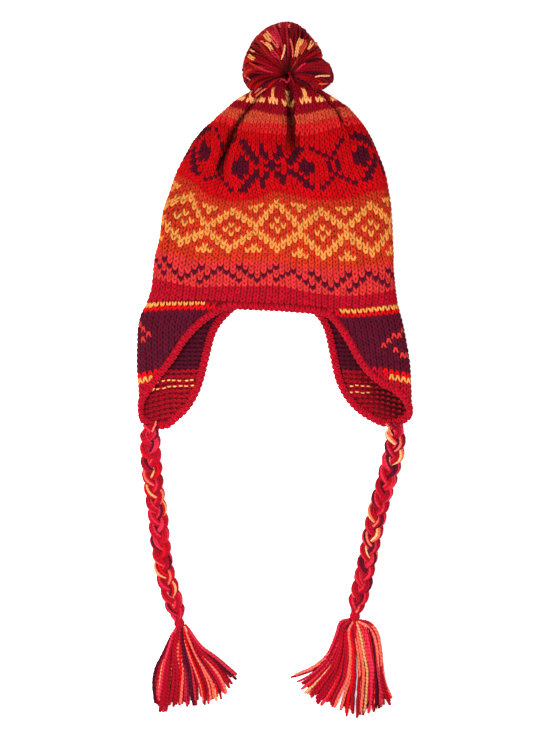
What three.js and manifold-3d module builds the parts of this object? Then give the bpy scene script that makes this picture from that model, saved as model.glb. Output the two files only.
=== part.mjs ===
// A knitted chullo with ear flaps, a pompom and two plaited ties, lying on a flat surface.
// Millimetres. +Y runs from the flaps to the pompom, +X to the right as seen from above, +Z up.
import * as THREE from "three";
import { mergeVertices } from "three/addons/utils/BufferGeometryUtils.js";
import Module from "manifold-3d";

const wasm = await Module();
wasm.setup();

// Driving dimensions
const WALL = 3.2; // knitted wall with the floats behind it
const GAP = 0.3; // between pieces that touch
const SEAT = 1.3; // from an edging to the cloth it borders, on a curve
const EDGING = { width: 9, thickness: 6.6, sides: 8, flapSteps: 26 };
const BRAID = { width: 17, thickness: 13, sides: 10, steps: 18 };
const TIE = { length: 7, radius: 5.2, sides: 12 };

// The flattened crown from hem to neck: its side edges, its lowest and highest height,
// how far the front swells, and how deep the pleats are there.
const CROWN = [
  { y: -78, left: -128.4, right: 123.6, low: 0, high: 30, swell: 0, pleat: 0 },
  { y: -62, left: -123.4, right: 121.6, low: 0, high: 34, swell: 1.5, pleat: 0 },
  { y: -35, left: -120.4, right: 119.6, low: 0, high: 40, swell: 3, pleat: 0 },
  { y: -10, left: -115.2, right: 118.6, low: 0, high: 45, swell: 4, pleat: 0 },
  { y: 12, left: -112.4, right: 117.6, low: 0, high: 49, swell: 4, pleat: 0 },
  { y: 38, left: -103.7, right: 114.2, low: 0, high: 51, swell: 4, pleat: 0.3 },
  { y: 56, left: -96.9, right: 110, low: 1, high: 52, swell: 4, pleat: 3 },
  { y: 73, left: -87.9, right: 103.5, low: 3, high: 53, swell: 4, pleat: 8 },
  { y: 85, left: -80.8, right: 98.6, low: 4.5, high: 54, swell: 3, pleat: 11 },
  { y: 96, left: -71.4, right: 92.5, low: 6.5, high: 55, swell: 3, pleat: 12 },
  { y: 106, left: -60, right: 85, low: 9, high: 56, swell: 2, pleat: 12 },
  { y: 116, left: -49, right: 75.5, low: 12, high: 56, swell: 2, pleat: 11 },
  { y: 125, left: -38.4, right: 63, low: 15, high: 56, swell: 1, pleat: 9 },
  { y: 133, left: -24.5, right: 50, low: 18, high: 55, swell: 0, pleat: 7 },
  { y: 141, left: -10, right: 35, low: 21, high: 52, swell: 0, pleat: 4 },
  { y: 148, left: -3, right: 27, low: 22, high: 50, swell: 0, pleat: 3 },
];
const CROWN_GRID = { around: 68, along: 14 };

// Six pleats, each at a place round the crown in turns from the middle of the front,
// with the height where it starts to fold and how deep it is against the table above.
const PLEATS = [
  { turn: -0.142, from: 44, depth: 1 },
  { turn: 0.022, from: 70, depth: 1.15 },
  { turn: 0.189, from: 90, depth: 0.6 },
  { turn: 0.357, from: 60, depth: 0.8 },
  { turn: -0.477, from: 78, depth: 0.9 },
  { turn: -0.31, from: 55, depth: 0.8 },
];
const PLEAT = { halfWidth: 0.027, fadeIn: 34 };

// The crown's lower edge, by turns from the middle of the front.
const RIM = [
  { turn: -0.5, y: -72 },
  { turn: -0.36, y: -73 },
  { turn: -0.25, y: -77 },
  { turn: -0.15, y: -73 },
  { turn: 0, y: -77 },
  { turn: 0.06, y: -79.5 },
  { turn: 0.1, y: -81 },
  { turn: 0.16, y: -78.5 },
  { turn: 0.25, y: -78 },
  { turn: 0.36, y: -75 },
  { turn: 0.5, y: -72 },
];

// Each flap from the hem down: its side fold's place and outer radius.
const FLAP_JOIN = -78;
const FLAPS = {
  left: {
    side: -1,
    folds: [
      { down: 0, reach: 128.4, radius: 15 },
      { down: 12, reach: 134.6, radius: 14.5 },
      { down: 28, reach: 137.4, radius: 14 },
      { down: 60, reach: 138.2, radius: 11.5 },
      { down: 92, reach: 136.4, radius: 9.5 },
      { down: 130, reach: 135.5, radius: 8 },
    ],
    // The edging's middle line on the cloth spread flat: cross is the distance from
    // the side fold, towards the front, and down the distance below the hem.
    outline: [
      { cross: 84, down: 4 },
      { cross: 76, down: 12 },
      { cross: 66, down: 24 },
      { cross: 56, down: 38 },
      { cross: 47, down: 52 },
      { cross: 37, down: 65 },
      { cross: 25, down: 77 },
      { cross: 15, down: 88 },
      { cross: 8, down: 98 },
      { cross: 1, down: 110 },
      { cross: -6, down: 118 },
      { cross: -17, down: 122 },
      { cross: -29, down: 121.5 },
      { cross: -38, down: 114.5 },
      { cross: -48, down: 106 },
      { cross: -58, down: 92 },
      { cross: -67, down: 73 },
      { cross: -74, down: 50 },
      { cross: -79, down: 32 },
      { cross: -86, down: 16 },
      { cross: -92, down: 7 },
    ],
  },
  right: {
    side: 1,
    folds: [
      { down: 0, reach: 123.6, radius: 15 },
      { down: 16, reach: 128, radius: 14 },
      { down: 40, reach: 133, radius: 13 },
      { down: 67, reach: 136.8, radius: 11 },
      { down: 99, reach: 137.9, radius: 9 },
      { down: 130, reach: 137.6, radius: 8 },
    ],
    outline: [
      { cross: 84, down: 9 },
      { cross: 76, down: 14 },
      { cross: 69, down: 25 },
      { cross: 62, down: 41 },
      { cross: 55, down: 58 },
      { cross: 46, down: 71 },
      { cross: 35, down: 81 },
      { cross: 22, down: 87 },
      { cross: 11, down: 96 },
      { cross: 3, down: 106 },
      { cross: -6, down: 114.5 },
      { cross: -16, down: 120 },
      { cross: -27, down: 121.5 },
      { cross: -38, down: 117.5 },
      { cross: -48.5, down: 111 },
      { cross: -59, down: 101 },
      { cross: -68, down: 88 },
      { cross: -75, down: 67 },
      { cross: -80, down: 42 },
      { cross: -86, down: 16 },
      { cross: -93, down: 7 },
    ],
  },
};
const FLAP_GRID = { across: 15, along: 10, foldDensity: 3, foldWidth: 17 };

// Routes of the two plaits on the surface, from the flap's tip to the binding.
const BRAID_ROUTES = {
  left: [
    [-124.7, -206.5], [-124.9, -216], [-124.5, -226], [-123.7, -238], [-122.6, -251], [-121.4, -261],
    [-120, -271], [-118.6, -281], [-117.1, -290], [-116.2, -301], [-115.3, -313], [-113.6, -325],
    [-112.1, -336], [-109.9, -348], [-106.8, -360], [-103.3, -371], [-99.8, -382], [-96.6, -395],
  ],
  right: [
    [121.3, -204.8], [121.5, -212], [121, -221], [119.1, -231], [116.4, -241], [113.4, -252],
    [110.5, -262], [107.5, -272], [104.7, -282], [102, -293], [99.4, -305], [96.7, -317],
    [94.4, -330], [91.9, -342], [89.4, -354], [86.4, -366], [83.6, -377], [81.4, -388],
  ],
};

// Each tassel's fan of locks: their directions in degrees from -Y towards +X, and their lengths.
const TASSELS = {
  left: [
    { angle: -21, length: 68, lift: 3.2 },
    { angle: -15, length: 79, lift: 8 },
    { angle: -8, length: 74, lift: 3.6 },
    { angle: -1, length: 77, lift: 10 },
    { angle: 6, length: 74, lift: 4 },
    { angle: 13, length: 76, lift: 11 },
    { angle: 20, length: 73, lift: 3.6 },
    { angle: 27, length: 74, lift: 10 },
    { angle: 34, length: 72, lift: 3.4 },
    { angle: 42, length: 68, lift: 7 },
    { angle: 51, length: 67, lift: 3.4 },
  ],
  right: [
    { angle: -49, length: 78, lift: 3.4 },
    { angle: -41, length: 80, lift: 8 },
    { angle: -33, length: 80, lift: 3.4 },
    { angle: -25, length: 84, lift: 10 },
    { angle: -17, length: 82, lift: 3.8 },
    { angle: -9, length: 86, lift: 11 },
    { angle: -1, length: 91, lift: 4 },
    { angle: 7, length: 88, lift: 10 },
    { angle: 14, length: 87, lift: 3.8 },
    { angle: 21, length: 84, lift: 8 },
    { angle: 28, length: 80, lift: 3.4 },
  ],
};
const LOCK = { root: 3.6, middle: 6.6, tip: 3.6, sides: 6, steps: 4, shoulder: 0.62 };
const TASSEL_HEAD = { radius: 6.2, neck: 4.4, length: 12, sides: 12 };

// The pompom: cut yarn that fans out from the knot which holds it, to an egg-shaped outside.
const POMPOM = {
  knot: [11.6, 151, 38],
  centre: [11, 160, 38],
  radii: [44.5, 43.5, 40],
  foot: 136,
  core: 0.72,
  locks: 36,
  lockSides: 5,
  rootRadius: 5,
  tipRadius: 10.6,
};

const COLOURS = {
  crimson: 0xb1062a,
  red: 0xd21125,
  purple: 0x6a1538,
  plait: 0xc92a2c,
};

// A value of a table's column at a place, on a smooth curve through the rows.
function along(table, place, column, at) {
  const last = table.length - 1;
  const rising = table[last][place] > table[0][place] ? 1 : -1;
  if ((at - table[0][place]) * rising <= 0) return table[0][column];
  if ((at - table[last][place]) * rising >= 0) return table[last][column];
  let i = 0;
  while ((at - table[i + 1][place]) * rising > 0) i += 1;
  const slope = (k) => {
    const a = table[Math.max(k - 1, 0)];
    const b = table[Math.min(k + 1, last)];
    return (b[column] - a[column]) / (b[place] - a[place]);
  };
  const span = table[i + 1][place] - table[i][place];
  const t = (at - table[i][place]) / span;
  const rise = table[i + 1][column] - table[i][column];
  const ease = t * t * (3 - 2 * t);
  return table[i][column] + rise * ease
    + span * (slope(i) * t * (1 - t) * (1 - t) - slope(i + 1) * t * t * (1 - t));
}

function smooth(t) {
  const s = Math.min(Math.max(t, 0), 1);
  return s * s * (3 - 2 * s);
}

// The shortest way round from one turn to another, between -0.5 and 0.5.
function turnsBetween(a, b) {
  return a - b - Math.round(a - b);
}

// A point on a flat loop with half-round ends, a share of a turn from the middle of its top.
function loopPoint(halfWidth, halfHeight, turn) {
  const flat = halfWidth - halfHeight;
  const length = 4 * flat + 2 * Math.PI * halfHeight;
  const side = turn < 0 ? -1 : 1;
  const run = Math.abs(turn) * length;
  if (run <= flat) return { x: side * run, z: halfHeight, nx: 0, nz: 1 };
  const angle = (run - flat) / halfHeight;
  if (angle < Math.PI) {
    const nx = side * Math.sin(angle);
    const nz = Math.cos(angle);
    return { x: side * flat + halfHeight * nx, z: halfHeight * nz, nx, nz };
  }
  const back = run - flat - Math.PI * halfHeight;
  return { x: side * (flat - back), z: -halfHeight, nx: 0, nz: -1 };
}

function pleatDepth(turn, y) {
  const depth = along(CROWN, "y", "pleat", y);
  let total = 0;
  for (const pleat of PLEATS) {
    const off = turnsBetween(turn, pleat.turn) / PLEAT.halfWidth;
    const start = smooth((y - pleat.from) / PLEAT.fadeIn);
    total += pleat.depth * start * Math.exp(-off * off);
  }
  return depth * total;
}

// A point of the crown's outer face, or of a face inset from it, with its pleats or without.
function crownPoint(turn, y, inset, folded = 1) {
  const left = along(CROWN, "y", "left", y);
  const right = along(CROWN, "y", "right", y);
  const low = Math.max(along(CROWN, "y", "low", y), 0);
  const high = along(CROWN, "y", "high", y);
  const p = loopPoint((right - left) / 2 - inset, (high - low) / 2 - inset, turn);
  const across = p.x / ((right - left) / 2);
  const swell = along(CROWN, "y", "swell", y) * Math.max(p.nz, 0) * (1 - across * across);
  const depth = folded * pleatDepth(turn, y);
  return new THREE.Vector3(
    (left + right) / 2 + p.x - p.nx * depth,
    y,
    (low + high) / 2 + p.z + swell - p.nz * depth,
  );
}

function rimHeight(turn) {
  return along(RIM, "turn", "y", turnsBetween(turn, 0));
}

// The middle of the flap's wall, and its outward direction, at a place on the cloth.
function flapPoint(flap, cross, down) {
  const radius = along(flap.folds, "down", "radius", down);
  const reach = along(flap.folds, "down", "reach", down);
  const bend = radius - WALL / 2;
  const quarter = (Math.PI / 2) * bend;
  const angle = Math.min(Math.max(cross / bend, -Math.PI / 2), Math.PI / 2);
  const flat = Math.max(Math.abs(cross) - quarter, 0);
  const normal = new THREE.Vector3(flap.side * Math.cos(angle), 0, Math.sin(angle));
  const x = reach - radius + bend * Math.cos(angle) - flat;
  const z = radius + bend * Math.sin(angle);
  return { at: new THREE.Vector3(flap.side * x, FLAP_JOIN - down, z), normal };
}

// Adds triangles for a strip between two rows of vertex numbers.
function stitchRows(index, a, b, closed) {
  const count = a.length;
  for (let i = 0; i < (closed ? count : count - 1); i += 1) {
    const j = (i + 1) % count;
    index.push(a[i], a[j], b[j], a[i], b[j], b[i]);
  }
}

// A closed body from its vertices and triangles, turned so that its faces point out.
function body(points, index) {
  const positions = new Float32Array(points.length * 3);
  points.forEach((p, i) => p.toArray(positions, 3 * i));
  let volume = 0;
  for (let i = 0; i < index.length; i += 3) {
    const [a, b, c] = [points[index[i]], points[index[i + 1]], points[index[i + 2]]];
    volume += a.dot(b.clone().cross(c));
  }
  const turned = volume < 0 ? [...index].reverse() : index;
  const geometry = new THREE.BufferGeometry();
  geometry.setAttribute("position", new THREE.BufferAttribute(positions, 3));
  geometry.setIndex(turned);
  geometry.computeVertexNormals();
  return geometry;
}

// A solid through rings of points, with a flat end on the first and the last ring.
function solidThroughRings(rings) {
  const points = rings.flat();
  const count = rings[0].length;
  const rows = rings.map((ring, r) => ring.map((_, i) => r * count + i));
  const index = [];
  for (let r = 0; r + 1 < rows.length; r += 1) stitchRows(index, rows[r], rows[r + 1], true);
  const first = points.push(middle(rings[0])) - 1;
  const last = points.push(middle(rings[rings.length - 1])) - 1;
  for (let i = 0; i < count; i += 1) {
    const j = (i + 1) % count;
    index.push(rows[0][j], rows[0][i], first);
    index.push(rows[rows.length - 1][i], rows[rows.length - 1][j], last);
  }
  return body(points, index);
}

function middle(ring) {
  const sum = new THREE.Vector3();
  ring.forEach((p) => sum.add(p));
  return sum.divideScalar(ring.length);
}

// A cloth wall between an outer and an inner grid of points, row by row.
// A closed wall runs right round in each row and is shut at its last row.
function clothWall(outer, inner, closed) {
  const count = outer[0].length;
  const points = [...outer.flat(), ...inner.flat()];
  const offset = outer.length * count;
  const outerRows = outer.map((row, r) => row.map((_, i) => r * count + i));
  const innerRows = outerRows.map((row) => row.map((i) => i + offset));
  const index = [];
  for (let r = 0; r + 1 < outer.length; r += 1) {
    stitchRows(index, outerRows[r], outerRows[r + 1], closed);
    stitchRows(index, innerRows[r + 1], innerRows[r], closed);
  }
  stitchRows(index, innerRows[0], outerRows[0], closed);
  const end = outer.length - 1;
  if (closed) {
    const outerTip = points.push(middle(outer[end])) - 1;
    const innerTip = points.push(middle(inner[end])) - 1;
    for (let i = 0; i < count; i += 1) {
      const j = (i + 1) % count;
      index.push(outerRows[end][i], outerRows[end][j], outerTip);
      index.push(innerRows[end][j], innerRows[end][i], innerTip);
    }
  } else {
    stitchRows(index, outerRows[end], innerRows[end], false);
    const edge = (rows, i) => rows.map((row) => row[i]);
    stitchRows(index, edge(outerRows, 0), edge(innerRows, 0), false);
    stitchRows(index, edge(innerRows, count - 1), edge(outerRows, count - 1), false);
  }
  return body(points, index);
}

function toSolid(geometry) {
  const bare = geometry.clone();
  bare.deleteAttribute("normal");
  bare.deleteAttribute("uv");
  const merged = mergeVertices(bare, 1e-4);
  return new wasm.Manifold(new wasm.Mesh({
    numProp: 3,
    vertProperties: merged.attributes.position.array,
    triVerts: new Uint32Array(merged.index.array),
  }));
}

function fromSolid(solid) {
  const mesh = solid.getMesh();
  const geometry = new THREE.BufferGeometry();
  geometry.setAttribute("position", new THREE.BufferAttribute(mesh.vertProperties, 3));
  geometry.setIndex(new THREE.BufferAttribute(mesh.triVerts, 1));
  geometry.computeVertexNormals();
  return geometry;
}

function joinAll(solids) {
  return solids.reduce((sum, solid) => sum.add(solid));
}

function crownGeometry() {
  const { around, along: rows } = CROWN_GRID;
  const top = CROWN[CROWN.length - 1].y;
  const grid = (inset, ceiling) => Array.from({ length: rows + 1 }, (_, r) => {
    const share = 1 - (1 - r / rows) ** 1.25;
    return Array.from({ length: around }, (_, i) => {
      const turn = turnsBetween(i / around, 0);
      const y = rimHeight(turn) + (ceiling - rimHeight(turn)) * share;
      return crownPoint(turn, y, inset);
    });
  });
  return clothWall(grid(0, top), grid(WALL, top - WALL), true);
}

function outlineCurve(flap) {
  const points = flap.outline.map((p) => new THREE.Vector3(p.cross, p.down, 0));
  return new THREE.CatmullRomCurve3(points, false, "centripetal");
}

// Places across a flap from its front to its back edge, closer together round the side fold.
function spreadAcross(from, to) {
  const { across, foldDensity, foldWidth } = FLAP_GRID;
  const fine = 60;
  const weights = [0];
  const place = (i) => from + ((to - from) * i) / fine;
  for (let i = 0; i < fine; i += 1) {
    const cross = place(i + 0.5);
    weights.push(weights[i] + 1 + foldDensity * Math.exp(-((cross / foldWidth) ** 2)));
  }
  const places = [from];
  let i = 0;
  for (let k = 1; k < across; k += 1) {
    const wanted = (weights[fine] * k) / across;
    while (weights[i + 1] < wanted) i += 1;
    places.push(place(i + (wanted - weights[i]) / (weights[i + 1] - weights[i])));
  }
  return [...places, to];
}

function flapGeometry(flap) {
  const curve = outlineCurve(flap);
  const rows = FLAP_GRID.along;
  const seat = EDGING.width / 2 + SEAT;
  const lastShare = 0.475;
  const edgePoint = (share) => {
    const p = curve.getPointAt(share);
    const t = curve.getTangentAt(share);
    return { cross: p.x + t.y * -seat, down: p.y + t.x * seat };
  };
  const outer = [];
  const inner = [];
  for (let r = 0; r <= rows; r += 1) {
    const share = (r / rows) * lastShare;
    const front = edgePoint(share);
    const back = edgePoint(1 - share);
    const outerRow = [];
    const innerRow = [];
    for (const cross of spreadAcross(front.cross, back.cross)) {
      const t = (cross - front.cross) / (back.cross - front.cross);
      let down = front.down + (back.down - front.down) * t;
      if (r === 0) down = joinDepth(flap, cross);
      const p = flapPoint(flap, cross, down);
      outerRow.push(p.at.clone().addScaledVector(p.normal, WALL / 2));
      innerRow.push(p.at.clone().addScaledVector(p.normal, -WALL / 2));
    }
    outer.push(outerRow);
    inner.push(innerRow);
  }
  return clothWall(outer, inner, false);
}

// How far below the join line the crown's lower edge lies, over a place on the flap.
function joinDepth(flap, cross) {
  const hem = CROWN[0];
  const bend = (hem.high - hem.low) / 2;
  const length = 2 * (hem.right - hem.left) + (2 * Math.PI - 4) * bend;
  const turn = flap.side * (0.25 - cross / length);
  return FLAP_JOIN - rimHeight(turn) + GAP;
}

// The whole edging as one closed run of stations round the hem and both flaps.
function edgingStations() {
  const stations = [];
  const drop = EDGING.width / 2 + GAP;
  const hemRun = (name, from, to, steps) => {
    for (let i = 1; i < steps; i += 1) {
      const turn = from + ((to - from) * i) / steps;
      const y = rimHeight(turnsBetween(turn, 0)) - drop;
      const place = turnsBetween(turn, 0);
      const at = crownPoint(place, Math.max(y, FLAP_JOIN), WALL / 2);
      at.y = y;
      const up = Math.abs(place) < 0.25 ? 1 : -1;
      stations.push({ run: name, at, normal: new THREE.Vector3(0, 0, up) });
    }
  };
  const flapRun = (name, flap, backwards) => {
    const curve = outlineCurve(flap);
    const steps = EDGING.flapSteps;
    for (let i = 0; i <= steps; i += 1) {
      const p = curve.getPointAt(backwards ? 1 - i / steps : i / steps);
      const station = flapPoint(flap, p.x, p.y);
      stations.push({ run: name, at: station.at, normal: station.normal });
    }
  };
  hemRun("hem_edging_front", -0.09, 0.085, 10);
  flapRun("flap_edging_right", FLAPS.right, false);
  hemRun("hem_edging_back", 0.425, 0.575, 9);
  flapRun("flap_edging_left", FLAPS.left, true);
  for (const station of stations) {
    const rest = (EDGING.thickness / 2) * Math.cos(Math.PI / EDGING.sides);
    station.at.z = Math.max(station.at.z, rest);
  }
  return stations;
}

// One run of the edging: an oval roll that lies flat along the cloth's edge.
function edgingGeometry(stations, name) {
  const count = stations.length;
  const own = stations.map((s, i) => i).filter((i) => stations[i].run === name);
  const between = (i, j) => stations[i].at.clone().add(stations[j].at).multiplyScalar(0.5);
  const before = (own[0] + count - 1) % count;
  const after = (own[own.length - 1] + 1) % count;
  const centres = own.map((i) => stations[i].at);
  const path = [between(before, own[0]), ...centres, between(own[own.length - 1], after)];
  const normals = [own[0], ...own, own[own.length - 1]].map((i) => stations[i].normal);
  const last = path.length - 1;
  const pull = (end, next) => end.addScaledVector(next.clone().sub(end).normalize(), GAP / 2);
  pull(path[0], path[1]);
  pull(path[last], path[last - 1]);
  const rings = path.map((at, i) => {
    const tangent = path[Math.min(i + 1, last)].clone().sub(path[Math.max(i - 1, 0)]).normalize();
    const across = tangent.clone().cross(normals[i]).normalize();
    const up = across.clone().cross(tangent).normalize();
    return Array.from({ length: EDGING.sides }, (_, k) => {
      const a = (2 * Math.PI * (k + 0.5)) / EDGING.sides;
      const point = at.clone()
        .addScaledVector(across, (Math.cos(a) * EDGING.width) / 2)
        .addScaledVector(up, (Math.sin(a) * EDGING.thickness) / 2);
      point.z = Math.max(point.z, 0);
      return point;
    });
  });
  return solidThroughRings(rings);
}

function routeCurve(name) {
  const height = BRAID.thickness / 2;
  const points = BRAID_ROUTES[name].map(([x, y]) => new THREE.Vector3(x, y, height));
  return new THREE.CatmullRomCurve3(points, false, "centripetal");
}

// The plait as a tube of its outer size, flat side down.
function braidGeometry(name) {
  const section = new THREE.Shape(Array.from({ length: BRAID.sides }, (_, i) => {
    const a = (2 * Math.PI * i) / BRAID.sides;
    return new THREE.Vector2((Math.cos(a) * BRAID.thickness) / 2, (Math.sin(a) * BRAID.width) / 2);
  }));
  return new THREE.ExtrudeGeometry(section, { extrudePath: routeCurve(name), steps: BRAID.steps });
}

// The plait's end point and the direction in which the tie and the tassel go on.
function braidEnd(name) {
  const curve = routeCurve(name);
  return { at: curve.getPointAt(1), direction: curve.getTangentAt(1) };
}

// A barrel of wound yarn, its ends flat, turned from the axis it is lathed on to the plait's.
function tieGeometry(name) {
  const end = braidEnd(name);
  const half = TIE.length / 2;
  const profile = [
    new THREE.Vector2(0, -half),
    new THREE.Vector2(TIE.radius * 0.86, -half),
    new THREE.Vector2(TIE.radius, -half * 0.35),
    new THREE.Vector2(TIE.radius, half * 0.35),
    new THREE.Vector2(TIE.radius * 0.86, half),
    new THREE.Vector2(0, half),
  ];
  const geometry = new THREE.LatheGeometry(profile, TIE.sides);
  const turn = new THREE.Quaternion().setFromUnitVectors(new THREE.Vector3(0, 1, 0), end.direction);
  const place = end.at.clone().addScaledVector(end.direction, half + GAP);
  place.z = TIE.radius;
  geometry.applyQuaternion(turn);
  geometry.translate(place.x, place.y, place.z);
  return geometry;
}

// One lock of yarn: it leaves the head sideways, bends towards its tip and sinks to the surface.
function lockSolid(from, to, lift, radii, sides, steps) {
  const bend = new THREE.Vector3(
    from.x + (to.x - from.x) * radii.shoulder,
    from.y + (to.y - from.y) * (1 - radii.shoulder),
    lift + radii.middle,
  );
  const curve = new THREE.QuadraticBezierCurve3(from, bend, to);
  const rings = Array.from({ length: steps + 1 }, (_, s) => {
    const t = s / steps;
    const at = curve.getPoint(t);
    const tangent = curve.getTangent(t);
    const across = new THREE.Vector3(-tangent.y, tangent.x, 0).normalize();
    const up = across.clone().cross(tangent).normalize();
    const radius = t < 0.6
      ? radii.root + (radii.middle - radii.root) * smooth(t / 0.6)
      : radii.middle + (radii.tip - radii.middle) * smooth((t - 0.6) / 0.4);
    return Array.from({ length: sides }, (_, k) => {
      const a = (2 * Math.PI * k) / sides;
      return at.clone()
        .addScaledVector(across, Math.cos(a) * radius)
        .addScaledVector(up, Math.sin(a) * radius * 0.8);
    });
  });
  return toSolid(solidThroughRings(rings));
}

// What stays above the surface that the hat lies on.
function aboveSurface(solid) {
  return solid.trimByPlane([0, 0, 1], 0);
}

function tasselGeometry(name) {
  const end = braidEnd(name);
  const start = end.at.clone().addScaledVector(end.direction, TIE.length + 2 * GAP);
  start.z = TIE.radius;
  const turn = new THREE.Quaternion().setFromUnitVectors(new THREE.Vector3(0, 1, 0), end.direction);
  const profile = [
    new THREE.Vector2(0, 0),
    new THREE.Vector2(TASSEL_HEAD.neck, 0),
    new THREE.Vector2(TASSEL_HEAD.radius, TASSEL_HEAD.length * 0.5),
    new THREE.Vector2(TASSEL_HEAD.radius * 0.9, TASSEL_HEAD.length),
    new THREE.Vector2(0, TASSEL_HEAD.length),
  ];
  const head = new THREE.LatheGeometry(profile, TASSEL_HEAD.sides);
  head.applyQuaternion(turn);
  head.translate(start.x, start.y, start.z);
  const root = start.clone().addScaledVector(end.direction, TASSEL_HEAD.length * 0.5);
  const locks = TASSELS[name].map((lock) => {
    const angle = THREE.MathUtils.degToRad(lock.angle);
    const reach = new THREE.Vector3(Math.sin(angle), -Math.cos(angle), 0);
    const tip = root.clone().addScaledVector(reach, lock.length);
    tip.z = LOCK.tip;
    return lockSolid(root, tip, lock.lift, LOCK, LOCK.sides, LOCK.steps);
  });
  return fromSolid(aboveSurface(joinAll([toSolid(head), ...locks])));
}

// Even directions over a sphere, by the golden angle.
function spreadDirections(count) {
  const golden = Math.PI * (3 - Math.sqrt(5));
  return Array.from({ length: count }, (_, i) => {
    const up = 1 - (2 * (i + 0.5)) / count;
    const flat = Math.sqrt(1 - up * up);
    return new THREE.Vector3(flat * Math.cos(golden * i), flat * Math.sin(golden * i), up);
  });
}

function largestPiece(solid) {
  return solid.decompose().reduce((a, b) => (a.volume() > b.volume() ? a : b));
}

// The space that the crown's gathered top takes in the pompom.
function neckClearance() {
  const room = 0.9;
  const top = CROWN[CROWN.length - 1].y;
  const sides = 24;
  const rings = [-44, -36, -28, -21, -14, -7, GAP + 0.1].map((step) => {
    const y = Math.min(top + step, top);
    return Array.from({ length: sides }, (_, i) => {
      const p = crownPoint(turnsBetween(i / sides, 0), y, -room, 0);
      p.y = top + step;
      return p;
    });
  });
  return toSolid(solidThroughRings(rings));
}

function pompomGeometry() {
  const knot = new THREE.Vector3(...POMPOM.knot);
  const centre = new THREE.Vector3(...POMPOM.centre);
  const radii = new THREE.Vector3(...POMPOM.radii);
  const core = new THREE.IcosahedronGeometry(1, 1);
  core.scale(...POMPOM.radii.map((r) => r * POMPOM.core));
  core.translate(...POMPOM.centre);
  const locks = spreadDirections(POMPOM.locks).map((direction, i) => {
    const reach = 0.95 + 0.05 * Math.sin(2.4 * i);
    const tip = centre.clone().add(direction.clone().multiply(radii).multiplyScalar(reach));
    tip.y = Math.max(tip.y, POMPOM.foot);
    const from = knot.clone().lerp(tip, 0.3);
    const tangent = tip.clone().sub(from).normalize();
    const across = new THREE.Vector3(-tangent.y, tangent.x, 0.01).normalize();
    const up = across.clone().cross(tangent).normalize();
    const stations = [
      { t: 0, radius: POMPOM.rootRadius },
      { t: 0.82, radius: POMPOM.tipRadius },
      { t: 1, radius: POMPOM.tipRadius * 0.5 },
    ];
    const rings = stations.map(({ t, radius }) => {
      const at = from.clone().lerp(tip, t);
      return Array.from({ length: POMPOM.lockSides }, (_, k) => {
        const a = (2 * Math.PI * k) / POMPOM.lockSides + i;
        return at.clone()
          .addScaledVector(across, Math.cos(a) * radius)
          .addScaledVector(up, Math.sin(a) * radius);
      });
    });
    return toSolid(solidThroughRings(rings));
  });
  const whole = aboveSurface(joinAll([toSolid(core), ...locks]));
  return fromSolid(largestPiece(whole.subtract(neckClearance())));
}

function yarn(colour) {
  return new THREE.MeshStandardMaterial({ color: colour, roughness: 0.95, metalness: 0 });
}

function addMesh(group, name, geometry, colour) {
  const mesh = new THREE.Mesh(geometry, yarn(colour));
  mesh.name = name;
  group.add(mesh);
}

const chullo = new THREE.Group();
addMesh(chullo, "crown", crownGeometry(), COLOURS.red);
addMesh(chullo, "pompom", pompomGeometry(), COLOURS.crimson);
const stations = edgingStations();
for (const run of ["hem_edging_front", "hem_edging_back"]) {
  addMesh(chullo, run, edgingGeometry(stations, run), COLOURS.crimson);
}
for (const [name, flap] of Object.entries(FLAPS)) {
  const run = `flap_edging_${name}`;
  addMesh(chullo, `flap_${name}`, flapGeometry(flap), COLOURS.purple);
  addMesh(chullo, run, edgingGeometry(stations, run), COLOURS.crimson);
  addMesh(chullo, `braid_${name}`, braidGeometry(name), COLOURS.plait);
  addMesh(chullo, `braid_tie_${name}`, tieGeometry(name), COLOURS.crimson);
  addMesh(chullo, `tassel_${name}`, tasselGeometry(name), COLOURS.red);
}

export default chullo;
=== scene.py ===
# %% [markdown]
# # A knitted chullo, lying flat
#
# The real object is a chunky knitted hat: a patterned crown gathered in pleats under a
# pompom, two folded ear flaps, a rolled edging, and two plaited ties that end in tassels.
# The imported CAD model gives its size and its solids. This notebook dresses them in yarn.
# Loading the frame comes first, so that every new piece can be placed in the same metres.

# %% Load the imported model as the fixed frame
import math

import bmesh
import bpy
import numpy as np
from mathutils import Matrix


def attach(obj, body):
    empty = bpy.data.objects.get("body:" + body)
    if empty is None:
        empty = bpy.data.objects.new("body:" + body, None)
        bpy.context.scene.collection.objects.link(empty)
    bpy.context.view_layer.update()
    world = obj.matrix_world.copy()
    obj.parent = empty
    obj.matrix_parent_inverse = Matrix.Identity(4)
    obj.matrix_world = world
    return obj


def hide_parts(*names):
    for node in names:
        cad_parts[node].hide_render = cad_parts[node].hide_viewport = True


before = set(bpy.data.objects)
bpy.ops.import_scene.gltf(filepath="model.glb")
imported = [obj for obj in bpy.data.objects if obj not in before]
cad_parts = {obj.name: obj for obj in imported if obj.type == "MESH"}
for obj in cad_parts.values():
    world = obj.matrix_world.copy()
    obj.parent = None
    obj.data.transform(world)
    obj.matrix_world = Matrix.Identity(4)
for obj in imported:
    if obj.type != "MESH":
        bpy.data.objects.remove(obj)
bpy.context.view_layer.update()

MM = 0.001
YARN_SEED, POMPOM_SEED = 11, 5
chance = np.random.default_rng(YARN_SEED)

# %% [markdown]
# ## The view
#
# The hat was photographed from straight above. A camera with a long lens, high over the table,
# keeps the far and near parts of the hat the same size, as in the picture. A short lens would
# make the pompom swell. One picture pixel is one millimetre here, so the frame is 550 by 733 mm.

# %% Camera straight above the hat
FRAME_HEIGHT = 733
FRAME_MIDDLE = (0.6, -140.5)
LENS, SENSOR = 180, 36
HAT_HEIGHT = 25

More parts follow.
